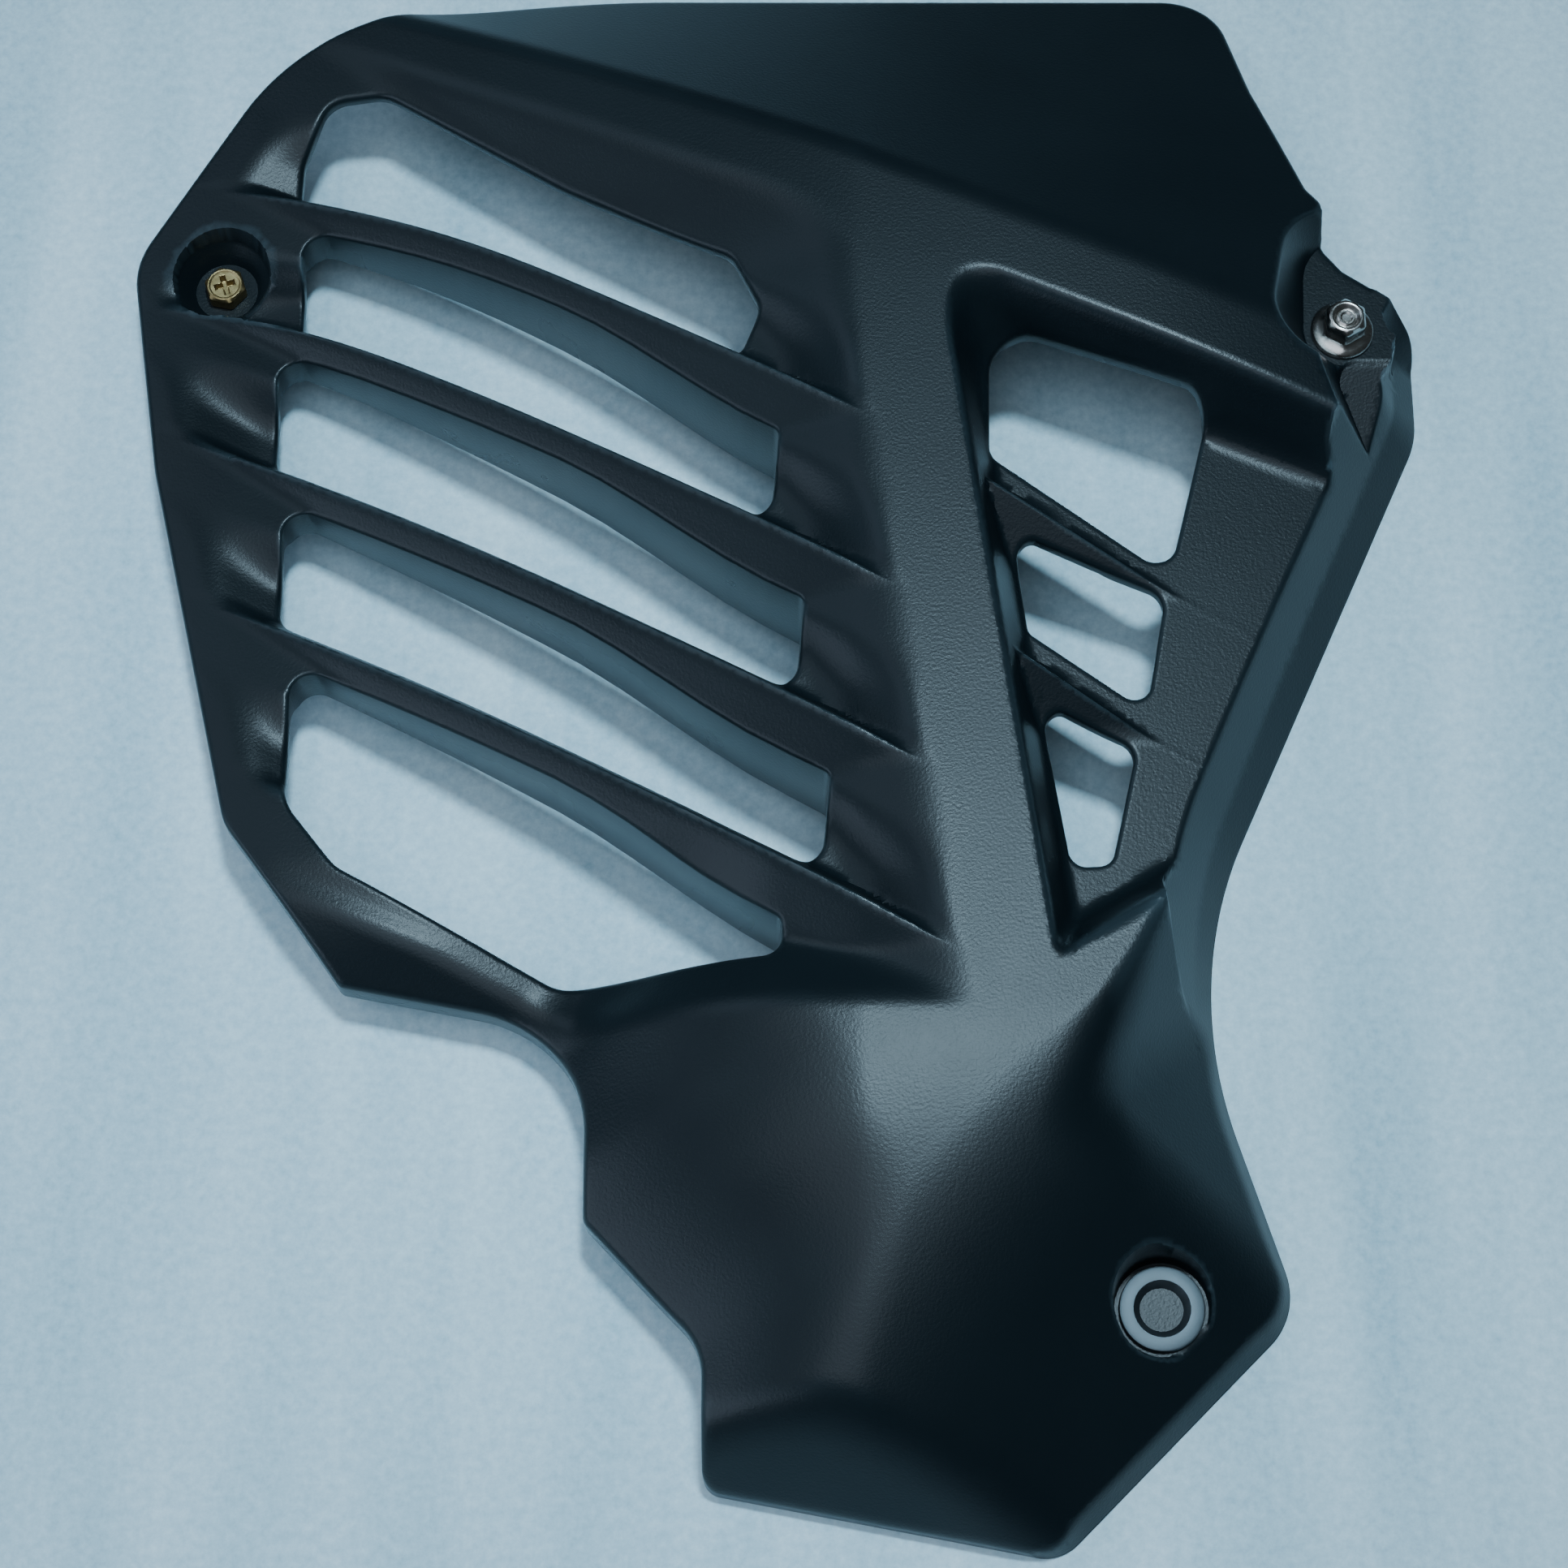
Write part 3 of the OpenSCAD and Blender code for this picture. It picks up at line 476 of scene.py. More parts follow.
loops = [outline] + slot_loops + panel_loops
into_material = [outline_in] + [-inward(loop) for loop in slot_loops + panel_loops]
FREE_EDGE_R, STRIP_EDGE_R, WEB_EDGE_R, PANEL_EDGE_R = 1.1, 0.3, 0.7, 0.9
edge_radius = [np.where(outline_right > RIGHT_SIDE, STRIP_EDGE_R, FREE_EDGE_R)]
for i, loop in enumerate(slot_loops):
    w = slat_w(loop[:, 0], loop[:, 1])
    upper_side = w > (ridge_w(i) + 15) if i < SLATS else w > ridge_w(SLATS - 1) - 12
    edge_radius.append(np.where(upper_side & (i > 0), WEB_EDGE_R, FREE_EDGE_R))
edge_radius += [np.full(len(loop), PANEL_EDGE_R) for loop in panel_loops]

top_points, top_edges, edge_drop = [], [], []
for loop, normal, radius in zip(loops, into_material, edge_radius):
    for ring in EDGE_RINGS:
        first = len(top_points)
        top_points += list(loop + normal * ring)
        reach = np.clip(radius - ring, 0, None)
        edge_drop += list(radius - np.sqrt(np.maximum(0, radius ** 2 - reach ** 2)))
        if ring == 0:
            n = len(loop)
            top_edges += [(first + k, first + (k + 1) % n) for k in range(n)]

loop_tree = point_tree(np.concatenate(loops))


def clear_of_loops(points, distance):
    x, y = points[:, 0], points[:, 1]
    keep = inside(outline, x, y)
    for loop in slot_loops + panel_loops:
        keep &= ~inside(loop, x, y)
    points = points[keep]
    far = np.array([loop_tree.find((p[0], p[1], 0))[2] > distance for p in points])
    return points[far]


def flank_crest():
    """Distance in from each point of the outline to where the flank or the strip meets the skin."""
    reach = np.arange(1.9, 36, 0.1)
    at = outline[:, None, :] + outline_in[:, None, :] * reach[None, :, None]
    skin = skin_height(at[:, :, 0].ravel(), at[:, :, 1].ravel()).reshape(at.shape[:2])
    allowed = drafted_height(reach[None, :], outline_strip[:, None], outline_flank[:, None])
    crest = reach[np.argmax(allowed >= skin, axis=1)]
    wide = np.concatenate([crest[-3:], crest, crest[:3]])
    return np.convolve(wide, np.ones(7) / 7, "valid")


def level_line(centre, reached, start, end, spacing=2.0):
    """Closed line round a centre, of the first points along each ray where a test is reached."""
    line = []
    for degrees in np.arange(0, 360 + spacing / 2, spacing):
        reach = np.arange(start, end, 0.1)
        x = centre[0] + reach * math.cos(math.radians(degrees))
        y = centre[1] + reach * math.sin(math.radians(degrees))
        line.append([c[np.argmax(reached(x, y))] for c in (x, y)])
    return np.array(line)


def beside_line(line, centre, off):
    arm = line - np.array(centre)
    return line + arm / np.linalg.norm(arm, axis=1)[:, None] * off


# Creases of the skin, as lines that the triangles must keep: ridges of slats and bars, crest of the flank,
# rim and feet of the lug's dish, and the recess's walls
crease_lines = []
ridge_runs = [(ridge_w(i), -112, 56) for i in range(SLATS)]
ridge_runs += [(ridge_w(i) + BAR_SHIFT, 42, 86) for i in range(2)]
for w, start, end in ridge_runs:
    xs = np.arange(start, end, 0.9)
    for off in (-1.3, -0.43, 0, 0.43, 1.3):
        crease_lines.append(np.stack([xs, slat_y_at(xs, w + off)], axis=1))
crest = flank_crest()
for off in (-0.9, -0.35, 0.1, 0.6, 1.2):
    ring = outline + outline_in * (crest + off)[:, None]
    ring[outline_right < 0.3] = np.nan
    crease_lines.append(ring)


def unstamped(x, y):
    return soft_min(skin_height(x, y), outline_limit(x, y), 1.6)


dish_rim = level_line(LUG_AT, lambda x, y: lug_dish(x, y) >= unstamped(x, y), 4, 44)
for off in (-0.8, -0.3, 0.1, 0.5):
    crease_lines.append(beside_line(dish_rim, LUG_AT, off))
tail_middle = (LUG_AT[0] + 8, LUG_AT[1] - 13)
for spots, centre in ((LUG_FACE, LUG_AT), (LUG_TAIL, tail_middle)):
    foot_line = level_line(centre, lambda x, y: hull_distance(spots, x, y) >= 0, 1, 44, 3.0)
    for off in (-0.25, 0.25, 0.8):
        crease_lines.append(beside_line(foot_line, centre, off))
ys = np.arange(-62, 92, 1.0)
for off in (-1.4, -0.7, 0, 0.7, 1.4, 4.0, 4.7, 5.4, 6.1, 7.0):
    crease_lines.append(np.stack([SPINE_RIGHT_X - SPINE_LEAN * ys + off, ys], axis=1))
xs = np.arange(40, 124, 1.0)
for off in (-1.4, -0.7, 0, 0.7, 1.4, 6.0, 6.8, 7.6, 8.4, 9.2):
    crease_lines.append(np.stack([xs, RECESS_TOP_Y - CREASE_SLOPE * (xs - RECESS_TOP_X) - off], axis=1))

# Rings of points where the pocket, the lug's seat and the collar's pocket turn, and along the strip
pocket_radii = (POCKET_FLOOR_R - 0.5, POCKET_FLOOR_R, POCKET_FLOOR_R + 0.5, 9.3, POCKET_MOUTH_R, 10.1, 10.5)
extra = [
    ring_points(POCKET_AT, pocket_radii, 72),
    ring_points(LUG_AT, (7.4, 7.9, 8.4, 9.0), 72),
    ring_points(COLLAR_AT, (9.0, 9.3, 9.5, 9.8, 10.1, 10.5), 96),
]
for off in (-1.0, -0.4, 0.1, 0.6, 1.3):
    ring = outline + outline_in * (outline_strip + off)[:, None]
    extra.append(ring[(outline_right > RIGHT_SIDE) & (outline_strip + off > 1.9)])


def thinned(points, distance, fixed=()):
    """Drops points that lie nearer than the distance to a fixed one or to an earlier one."""
    cells = {}

    def cell(p):
        return int(p[0] // distance), int(p[1] // distance)

    for p in fixed:
        cells.setdefault(cell(p), []).append(p)
    kept = []
    for p in points:
        i, j = cell(p)
        around = [q for a in (i - 1, i, i + 1) for b in (j - 1, j, j + 1) for q in cells.get((a, b), ())]
        if all((p[0] - q[0]) ** 2 + (p[1] - q[1]) ** 2 >= distance ** 2 for q in around):
            cells.setdefault((i, j), []).append(p)
            kept.append(p)
    return np.array(kept)


# Each crease line keeps its points on the material, clear of the loops, joined where they follow on
loop_radius = np.concatenate(edge_radius)
for line in crease_lines:
    keep = ~np.isnan(line[:, 0])
    keep[keep] = inside(outline, line[keep, 0], line[keep, 1])
    for loop in slot_loops + panel_loops:
        keep[keep] = ~inside(loop, line[keep, 0], line[keep, 1])
    keep[keep] = [loop_tree.find((p[0], p[1], 0))[2] > 0.5 for p in line[keep]]
    last = None
    for k in np.flatnonzero(keep):
        _, serial, away = loop_tree.find((line[k][0], line[k][1], 0))
        radius = loop_radius[serial]
        top_points.append(line[k])
        edge_drop.append(radius - math.sqrt(max(0, radius ** 2 - max(0, radius - away) ** 2)))
        if last == k - 1 and np.linalg.norm(line[k] - line[last]) < 4:
            top_edges.append((len(top_points) - 2, len(top_points) - 1))
        last = k
fine = clear_of_loops(np.concatenate(extra + [skin_lattice(1.3)]), EDGE_RINGS[-1] + 0.35)
fine = thinned(fine, 0.36, top_points[len(loop_radius) * len(EDGE_RINGS):])
points = np.concatenate([np.array(top_points), fine])
xy, top_tris = triangulated(points, top_edges, outline, slot_loops + panel_loops)
top_z = top_height(xy[:, 0], xy[:, 1])
top_z[:len(edge_drop)] -= np.array(edge_drop)
top_z = np.maximum(top_z, 0.02)

# Underside: coarser, from the wall ring inwards
wall_rings = [loop + normal * WALL_RING for loop, normal in zip(loops, into_material)]
under_points, under_edges = [], []
for ring in wall_rings:
    first = len(under_points)
    under_points += list(ring)
    under_edges += [(first + k, first + (k + 1) % len(ring)) for k in range(len(ring))]
coarse = thinned(clear_of_loops(skin_lattice(3.2), WALL_RING + 1.0), 1.2)
under_xy, under_tris = triangulated(
    np.concatenate([np.array(under_points), coarse]), under_edges, wall_rings[0], wall_rings[1:]
)
under_z = np.min([
    top_height(under_xy[:, 0] + dx, under_xy[:, 1] + dy)
    for dx, dy in ((0, 0), (WALL, 0), (-WALL, 0), (0, WALL), (0, -WALL))
], axis=0) - WALL
under_z = np.maximum(under_z, 0.0)

# One list of vertices: the top, the underside, the foot of the outer wall and the foot of the inner wall
verts = [(x, y, z) for (x, y), z in zip(xy, top_z)]
faces = [tuple(t) for t in top_tris]
under_start = len(verts)
verts += [(x, y, z) for (x, y), z in zip(under_xy, under_z)]
faces += [(under_start + a, under_start + c, under_start + b) for a, b, c in under_tris]

top_first, under_first = 0, 0
for number, (loop, normal) in enumerate(zip(loops, into_material)):
    n = len(loop)
    edge_z = top_z[top_first:top_first + n]
    ring_z = under_z[under_first:under_first + n]
    foot = np.minimum(edge_z - 0.3, ring_z)
    if number == 0:
        rim_foot = np.maximum(edge_z + FREE_EDGE_R - RIM_H, 0)
        foot = np.where(outline_right > RIGHT_SIDE, 0.0, np.minimum(foot, rim_foot))
        skirt = ease((outline[:, 0] - 44) / 8) * (1 - ease((outline[:, 1] - 110) / 1.5))
        foot = np.where(skirt > 0.5, 0.0, foot)
    elif number <= SLATS + 1:
        i = number - 1
        if i > 0:
            x, y = loop[:, 0], loop[:, 1]
            low, high = slot_lower(i, x), slot_upper(i, x)
            if i == SLATS:
                low = np.interp(x, *zip(*[corner[:2] for corner in FOOT_SLOT_BORDER]))
            t = (y - low) / np.maximum(high - low, 1)
            hang = np.where(x > -40, ease((t - 0.2) / 0.2), ease((t - 0.6) / 0.25))
            foot = np.minimum(foot, mix(foot, WEB_FOOT_H, hang))
    foot = np.maximum(foot, 0)
    foot = np.minimum(foot, edge_z)
    outer_foot = len(verts)
    verts += [(p[0], p[1], z) for p, z in zip(loop, foot)]
    inner_foot = len(verts)
    verts += [(p[0], p[1], min(z, u)) for p, z, u in zip(wall_rings[number], foot, ring_z)]
    for k in range(n):
        j = (k + 1) % n
        walls = [
            (top_first + k, top_first + j, outer_foot + j, outer_foot + k),
            (outer_foot + k, outer_foot + j, inner_foot + j, inner_foot + k),
            (inner_foot + k, inner_foot + j, under_start + under_first + j, under_start + under_first + k),
        ]
        for a, b, c, d in walls:
            faces.append((a, d, c, b) if number == 0 else (a, b, c, d))
    top_first += n * len(EDGE_RINGS)
    under_first += n


def add_mesh(name, verts, faces, body="root", smooth_angle=42):
    """Makes an object from points in millimetres and faces, and lets it ride on the body."""
    mesh = bpy.data.meshes.new(name)
    placed = (np.array(verts) - np.array((MIDDLE[0], MIDDLE[1], 0))) / 1000
    mesh.from_pydata([tuple(p) for p in placed], [], [tuple(int(i) for i in f) for f in faces])
    mesh.validate()
    mesh.shade_smooth()
    mesh.set_sharp_from_angle(angle=math.radians(smooth_angle))
    piece = bpy.data.objects.new(name, mesh)
    bpy.context.scene.collection.objects.link(piece)
    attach(piece, body)
    return piece


shell = add_mesh("moulded_shell", verts, faces)


def linear(hex_colour):
    """A linear colour from an sRGB hex value."""
    parts = [int(hex_colour[i:i + 2], 16) / 255 for i in (0, 2, 4)]
    return tuple(c / 12.92 if c <= 0.04045 else ((c + 0.055) / 1.055) ** 2.4 for c in parts) + (1.0,)


def join(material, node, links):
    """Links outputs of other nodes to a node's sockets."""
    for key, source in links.items():
        material.node_tree.links.new(source, node.inputs[key])


def add_node(material, kind, links=None, **settings):
    """Adds one node; settings with a socket's name fill it, and links join sockets to it."""
    node = material.node_tree.nodes.new(kind)
    for key, value in settings.items():
        if hasattr(node, key):
            setattr(node, key, value)
        else:
            node.inputs[key.replace("_", " ")].default_value = value
    join(material, node, links or {})
    return node


def new_material(name):
    material = bpy.data.materials.new(name)
    material.use_nodes = True
    return material, material.node_tree.nodes["Principled BSDF"]


# Black ABS with a spark-eroded grain: near black, with a blue-green cast where it mirrors the overhead
# light, and a fine sparkle. The real grain is about 0.15 mm; it is drawn at 0.6 mm so that it shows.
moulded_abs, abs_shader = new_material("grained_black_abs")
where = add_node(moulded_abs, "ShaderNodeTexCoord").outputs["Object"]
grain = add_node(
    moulded_abs, "ShaderNodeTexNoise", {"Vector": where}, Scale=1 / 0.0006, Detail=1.0, Roughness=0.6
)
mottle = add_node(
    moulded_abs, "ShaderNodeTexNoise", {"Vector": where}, Scale=1 / 0.05, Detail=3.0, Roughness=0.55
)
tone = add_node(
    moulded_abs, "ShaderNodeMix", {"Factor": mottle.outputs["Fac"]},
    data_type="RGBA", A=linear("0A1115"), B=linear("111A1E"),
)
# Handling leaves the crests a little smoother than the hollows. The sharpest crests also get a painted
# highlight: their colour turns a lighter grey that stands in for the lamp's glint along the ridges.
crest_polish_and_highlight = add_node(moulded_abs, "ShaderNodeNewGeometry").outputs["Pointiness"]
polish = add_node(
    moulded_abs, "ShaderNodeMapRange", {"Value": crest_polish_and_highlight}, From_Min=0.50, From_Max=0.56, To_Min=0.0, To_Max=0.08
)
# Painted highlight: the pointiest crests are mixed towards a lighter blue-grey below.
painted_highlight_mask = add_node(moulded_abs, "ShaderNodeMapRange", {"Value": crest_polish_and_highlight}, From_Min=0.51, From_Max=0.60)
tone_with_painted_highlight = add_node(
    moulded_abs, "ShaderNodeMix", {"Factor": painted_highlight_mask.outputs["Result"], "A": tone.outputs["Result"]},
    data_type="RGBA", B=linear("38464C"),
)
gloss = add_node(
    moulded_abs, "ShaderNodeMapRange", {"Value": mottle.outputs["Fac"]},
    From_Min=0.3, From_Max=0.7, To_Min=0.34, To_Max=0.38,
)
rough = add_node(
    moulded_abs, "ShaderNodeMath", {0: gloss.outputs["Result"], 1: polish.outputs["Result"]},
    operation="SUBTRACT",
)
bump = add_node(
    moulded_abs, "ShaderNodeBump", {"Height": grain.outputs["Fac"]}, Strength=0.45, Distance=0.00009
)
join(moulded_abs, abs_shader, {
    "Base Color": tone_with_painted_highlight.outputs["Result"],
    "Roughness": rough.outputs["Value"],
    "Normal": bump.outputs["Normal"],
})
abs_shader.inputs["IOR"].default_value = 1.5
abs_shader.inputs["Specular IOR Level"].default_value = 0.23
shell.data.materials.append(moulded_abs)
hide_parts("guard_shell")


# Pocket screw. A short hexagon-head thread-forming screw with a cross recess, cold-headed in carbon steel
# and plated with yellow zinc. It holds the upper left corner to the radiator bracket.
def turned(profile, steps, phase=0.0):
    """Points and faces of a solid turned from (radius, height) pairs; radius nought is a pole."""
    verts, rings, faces = [], [], []
    for r, z in profile:
        if r == 0:
            rings.append([len(verts)])
            verts.append((0, 0, z))
            continue
        rings.append(list(range(len(verts), len(verts) + steps)))
        for k in range(steps):
            angle = phase + 2 * math.pi * k / steps
            reach = r(angle) if callable(r) else r
            verts.append((reach * math.cos(angle), reach * math.sin(angle), z))
    for a, b in zip(rings, rings[1:]):
        for k in range(steps):
            j = (k + 1) % steps
            if len(a) == 1:
                faces.append((a[0], b[k], b[j]))
            elif len(b) == 1:
                faces.append((a[k], b[0], a[j]))
            else:
                faces.append((a[k], b[k], b[j], a[j]))
    return verts, faces


HEX_CORNER_EASE = 0.175


def hexagon(across_flats):
    """Radius of a hexagon with eased corners at an angle."""
    def reach(angle):
        off = (angle + math.pi / 6) % (math.pi / 3) - math.pi / 6
        flat = across_flats / 2 / math.cos(off)
        return min(flat, across_flats / math.sqrt(3) - HEX_CORNER_EASE)
    return reach


def eased_hexagon(across_flats, inset):
    hexed = hexagon(across_flats)
    return lambda angle: hexed(angle) - inset


THREAD_POINT = 0.8
SHOULDER_OUT = 0.22
SHOULDER_LENGTH = 2.9
TURN_STEPS = 96


def thread(profile, top, bottom, radius, pitch, depth):
    """Adds rounded thread rings to a profile that runs downwards."""
    z = top
    while z - pitch > bottom + THREAD_POINT:
        for out, down in ((0, 0), (0, 0.2), (depth, 0.5), (depth, 0.7)):
            profile.append((radius - out, z - pitch * down))
        z -= pitch
    profile += [(radius, z), (radius - THREAD_POINT, bottom), (0, bottom)]


def lifted(mesh, place):
    verts, faces = mesh
    return [(x + place[0], y + place[1], z + place[2]) for x, y, z in verts], faces


def cross_recess(x, y, length, width, depth):
    """Depth of a cross recess whose arms slope to the middle."""
    arm = min(abs(x), abs(y))
    reach = max(abs(x), abs(y))
    side = np.clip((width / 2 - arm) / 0.22, 0, 1)
    end = np.clip((length / 2 - reach) / 0.6, 0, 1)
    return depth * float(min(side, end))


SCREW_D, SCREW_LEN, SCREW_AF, SCREW_HEAD_H = 5.0, 8.5, 8.0, 3.6
SCREW_DISH_R, SCREW_DISH_DEPTH, SCREW_TURN = 3.05, 0.25, math.radians(18)
CROSS_L, CROSS_W, CROSS_DEPTH = 4.6, 1.25, 1.5
head_profile = [(0, SCREW_HEAD_H - SCREW_DISH_DEPTH)]
for r in np.arange(0.15, SCREW_DISH_R, 0.12):
    head_profile.append((float(r), SCREW_HEAD_H - SCREW_DISH_DEPTH))
head_profile += [
    (3.15, SCREW_HEAD_H - 0.16), (3.35, SCREW_HEAD_H - 0.02), (3.55, SCREW_HEAD_H),
    (3.72, SCREW_HEAD_H - 0.08), (eased_hexagon(SCREW_AF, 0.10), SCREW_HEAD_H - 0.55),
    (hexagon(SCREW_AF), SCREW_HEAD_H - 0.8), (hexagon(SCREW_AF), 0.25), (eased_hexagon(SCREW_AF, 0.2), 0.02),
    (SCREW_D / 2 + SHOULDER_OUT, 0.02),
]
thread(head_profile, -SHOULDER_LENGTH, -SCREW_LEN, SCREW_D / 2, 0.8, 0.42)
plain_verts, screw_faces = turned(head_profile, TURN_STEPS)
screw_verts = []
for x, y, z in plain_verts:
    if z > SCREW_HEAD_H - 0.3 and math.hypot(x, y) < SCREW_DISH_R:
        z -= cross_recess(x, y, CROSS_L, CROSS_W, CROSS_DEPTH)
    c, s = math.cos(SCREW_TURN), math.sin(SCREW_TURN)
    screw_verts.append((x * c - y * s, x * s + y * c, z))
screw_mesh = lifted((screw_verts, screw_faces), (*POCKET_AT, POCKET_FLOOR_H))
screw = add_mesh("zinc_hexagon_screw", *screw_mesh, smooth_angle=28)


def plated_steel(name, pale, deep, roughness, spacing):
    """Plated steel: metallic, with thin staining at a spacing in millimetres and a grit of 0.4 mm."""
    metal, shader = new_material(name)
    place = add_node(metal, "ShaderNodeTexCoord").outputs["Object"]
    stain = add_node(
        metal, "ShaderNodeTexNoise", {"Vector": place}, Scale=1000 / spacing, Detail=4.0, Roughness=0.6
    )
    blend = add_node(
        metal, "ShaderNodeMix", {"Factor": stain.outputs["Fac"]},
        data_type="RGBA", A=linear(deep), B=linear(pale),
    )
    grit = add_node(metal, "ShaderNodeTexNoise", {"Vector": place}, Scale=1000 / 0.4, Detail=2.0)
    dull = add_node(
        metal, "ShaderNodeMapRange", {"Value": stain.outputs["Fac"]},
        To_Min=roughness - 0.08, To_Max=roughness + 0.10,
    )
    uneven = add_node(
        metal, "ShaderNodeBump", {"Height": grit.outputs["Fac"]}, Strength=0.25, Distance=0.00004
    )
    join(metal, shader, {
        "Base Color": blend.outputs["Result"],
        "Roughness": dull.outputs["Result"],
        "Normal": uneven.outputs["Normal"],
    })
    shader.inputs["Metallic"].default_value = 1.0
    return metal


# Yellow zinc over steel: a warm brassy tint that varies from straw to olive as the chromate film thins
screw.data.materials.append(plated_steel("yellow_zinc_plated_steel", "C4AE80", "705C36", 0.40, 1.6))
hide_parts("pocket_screw")


# Lug bolt. A cold-headed flange bolt with a dished hexagon head, in bright zinc over steel; its flange
# clamps the lug at the right.
BOLT_D, BOLT_LEN, BOLT_AF, BOLT_HEAD_H, BOLT_FLANGE_D = 6.0, 19.0, 8.0, 7.0, 13.2
bolt_profile = [
    (0, BOLT_HEAD_H - 0.9), (0.9, BOLT_HEAD_H - 0.9), (1.3, BOLT_HEAD_H - 0.62), (1.6, BOLT_HEAD_H - 0.62),
    (2.0, BOLT_HEAD_H - 0.88), (2.3, BOLT_HEAD_H - 0.7), (2.75, BOLT_HEAD_H - 0.12), (3.0, BOLT_HEAD_H),
    (3.3, BOLT_HEAD_H), (3.6, BOLT_HEAD_H - 0.15), (eased_hexagon(BOLT_AF, 0.12), BOLT_HEAD_H - 0.7),
    (hexagon(BOLT_AF), BOLT_HEAD_H - 0.95), (hexagon(BOLT_AF), 2.4), (eased_hexagon(BOLT_AF, -0.3), 2.1),
    (5.4, 1.62), (6.2, 1.25), (BOLT_FLANGE_D / 2 - 0.15, 0.95), (BOLT_FLANGE_D / 2, 0.7),
    (BOLT_FLANGE_D / 2, 0.2), (BOLT_FLANGE_D / 2 - 0.2, 0.02), (BOLT_D / 2 + SHOULDER_OUT, 0.02),
]
thread(bolt_profile, -SHOULDER_LENGTH, -BOLT_LEN, BOLT_D / 2, 1.0, 0.5)
bolt_mesh = lifted(turned(bolt_profile, TURN_STEPS, math.radians(15)), (*LUG_AT, LUG_H))
bolt = add_mesh("dished_flange_bolt", *bolt_mesh, smooth_angle=28)
# Bright zinc: cool grey that mirrors softly, with a faint straw bloom where the plating is thin
bolt.data.materials.append(plated_steel("bright_zinc_plated_steel", "D9D6D2", "9A9088", 0.24, 2.2))
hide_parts("lug_bolt")


# Collar. A turned steel sleeve with a flange, its passivated zinc left dull. It sits in its own pocket at
# the foot, and keeps the plastic from being crushed when the guard is bolted on.
COLLAR_TUBE_R, COLLAR_BORE_R, COLLAR_LEN = 5.8, 4.2, 12.0
flange = COLLAR_LEN - COLLAR_FLANGE_T
collar_ring = [
    (COLLAR_BORE_R + 0.9, COLLAR_LEN - 0.35), (COLLAR_BORE_R + 1.3, COLLAR_LEN - 0.02),
    (COLLAR_BORE_R + 1.6, COLLAR_LEN), (COLLAR_FLANGE_R - 0.5, COLLAR_LEN),
    (COLLAR_FLANGE_R - 0.15, COLLAR_LEN - 0.12), (COLLAR_FLANGE_R, COLLAR_LEN - 0.45),
    (COLLAR_FLANGE_R, flange + 0.2), (COLLAR_FLANGE_R - 0.2, flange + 0.02), (COLLAR_TUBE_R, flange + 0.02),
    (COLLAR_TUBE_R, 0.3), (COLLAR_TUBE_R - 0.3, 0), (COLLAR_BORE_R + 0.3, 0), (COLLAR_BORE_R, 0.3),
    (COLLAR_BORE_R, COLLAR_LEN - 1.4), (COLLAR_BORE_R + 0.25, COLLAR_LEN - 1.1),
]
collar_verts, collar_faces = turned(collar_ring, TURN_STEPS)
last = (len(collar_ring) - 1) * TURN_STEPS
for k in range(TURN_STEPS):
    j = (k + 1) % TURN_STEPS
    collar_faces.append((last + k, k, j, last + j))
collar_mesh = lifted((collar_verts, collar_faces), (*COLLAR_AT, COLLAR_TOP_H - COLLAR_LEN))
collar = add_mesh("flanged_sleeve", *collar_mesh, smooth_angle=35)
# Passivated zinc, turned: a flat, cool and rather dark grey that spreads its highlights wide
collar.data.materials.append(plated_steel("passivated_turned_steel", "646B70", "474F53", 0.52, 3.0))
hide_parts("collar")


# Floor and light: a pale foam packing sheet. A compact lamp overhead cuts the sharp shadows of the slots,
# and a broad ceiling light and two windows on the left give the soft tones.
FLOOR_REACH, FLOOR_DROP = 1.6, 0.0003
floor_mesh = bpy.data.meshes.new("floor")
floor_corners = [(sx * FLOOR_REACH, sy * FLOOR_REACH, 0) for sx, sy in ((-1, -1), (1, -1), (1, 1), (-1, 1))]
floor_mesh.from_pydata(floor_corners, [], [(0, 1, 2, 3)])
floor = bpy.data.objects.new("floor", floor_mesh)
floor.location.z = -FLOOR_DROP
bpy.context.scene.collection.objects.link(floor)
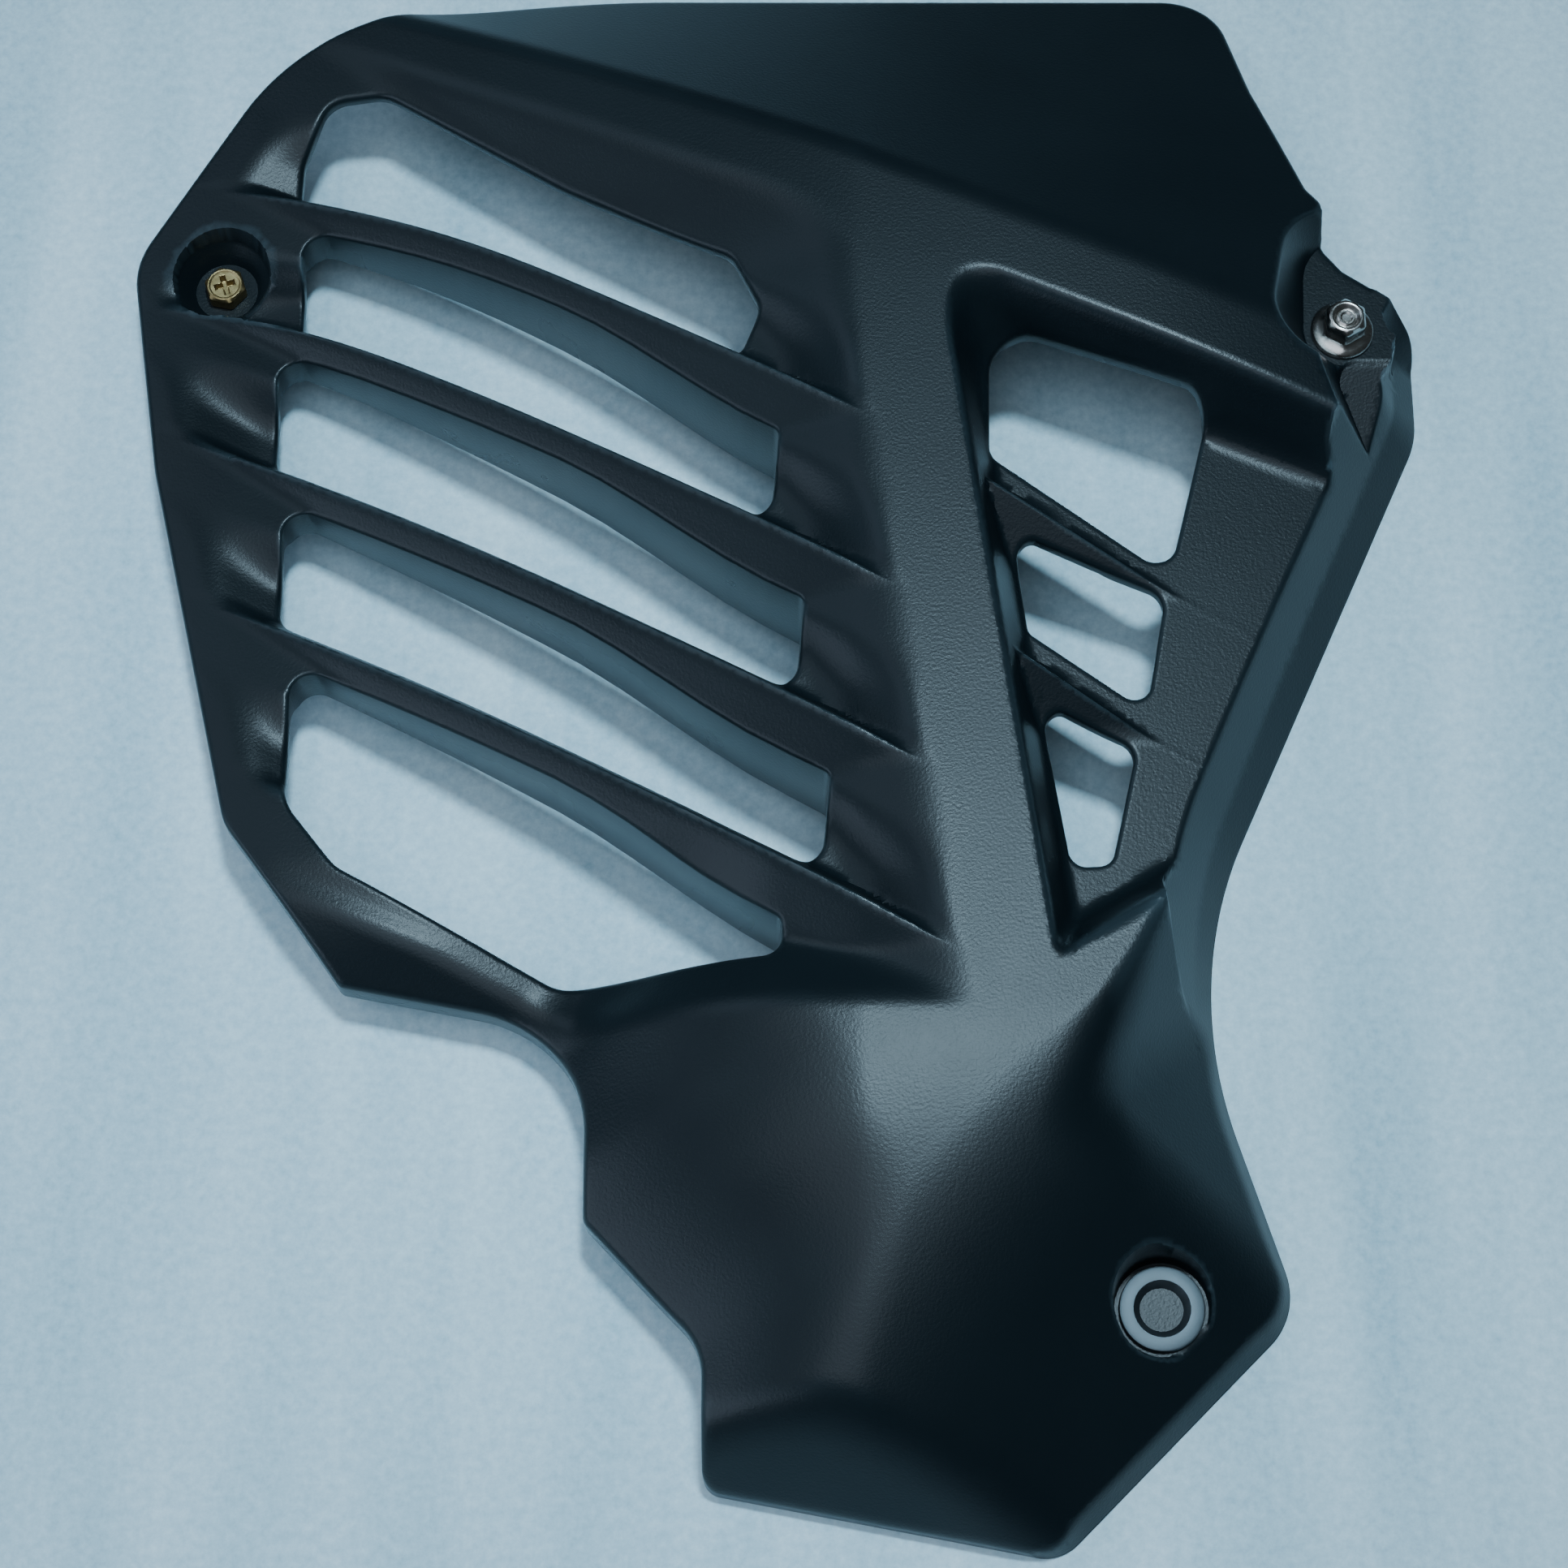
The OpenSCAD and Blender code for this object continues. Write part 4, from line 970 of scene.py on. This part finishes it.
# Foamed polyethylene: cells of about 2 mm mottle it, and its rolled waves run up the picture 25 mm apart
foam, foam_shader = new_material("pale_foam_sheet")
where = add_node(foam, "ShaderNodeTexCoord").outputs["Object"]
cells = add_node(foam, "ShaderNodeTexNoise", {"Vector": where}, Scale=1 / 0.0022, Detail=3.0, Roughness=0.7)
drawn_out = add_node(foam, "ShaderNodeMapping", {"Vector": where}, Scale=(40.0, 5.0, 1.0))
waves = add_node(foam, "ShaderNodeTexNoise", {"Vector": drawn_out.outputs["Vector"]}, Scale=1.0, Detail=2.0)
both = add_node(foam, "ShaderNodeMath", {0: cells.outputs["Fac"], 1: waves.outputs["Fac"]}, operation="ADD")
spread = add_node(foam, "ShaderNodeMapRange", {"Value": both.outputs["Value"]}, From_Min=0.6, From_Max=1.4)
foam_tone = add_node(
    foam, "ShaderNodeMix", {"Factor": spread.outputs["Result"]},
    data_type="RGBA", A=linear("97BECD"), B=linear("D8F0F8"),
)
join(foam, foam_shader, {"Base Color": foam_tone.outputs["Result"]})
foam_shader.inputs["Roughness"].default_value = 0.7
floor_mesh.materials.append(foam)


def area_light(name, place, size, watts, colour, spread=180):
    """Adds a soft light that faces the origin."""
    data = bpy.data.lights.new(name, "AREA")
    data.spread = math.radians(spread)
    data.shape = "RECTANGLE"
    data.size, data.size_y = size
    data.energy = watts
    data.color = linear(colour)[:3]
    light = bpy.data.objects.new(name, data)
    light.location = place
    light.rotation_euler = (-Vector(place)).to_track_quat("-Z", "Y").to_euler()
    bpy.context.scene.collection.objects.link(light)


area_light("key", (0.10, 0.24, 1.5), (0.16, 0.16), 1.0, "C8ECFF", spread=36)
area_light("ceiling", (-0.35, -0.45, 1.8), (1.7, 1.2), 15, "DDEEFF")
area_light("window", (-1.3, -0.6, 0.5), (1.6, 0.5), 11, "CFE6FF")
area_light("high_window", (-1.4, 0.75, 1.5), (1.1, 0.9), 5.5, "CFE6FF")
world = bpy.data.worlds.new("studio")
world.use_nodes = True
world.node_tree.nodes["Background"].inputs["Color"].default_value = linear("C9DCE4")
world.node_tree.nodes["Background"].inputs["Strength"].default_value = 0.05
bpy.context.scene.world = world
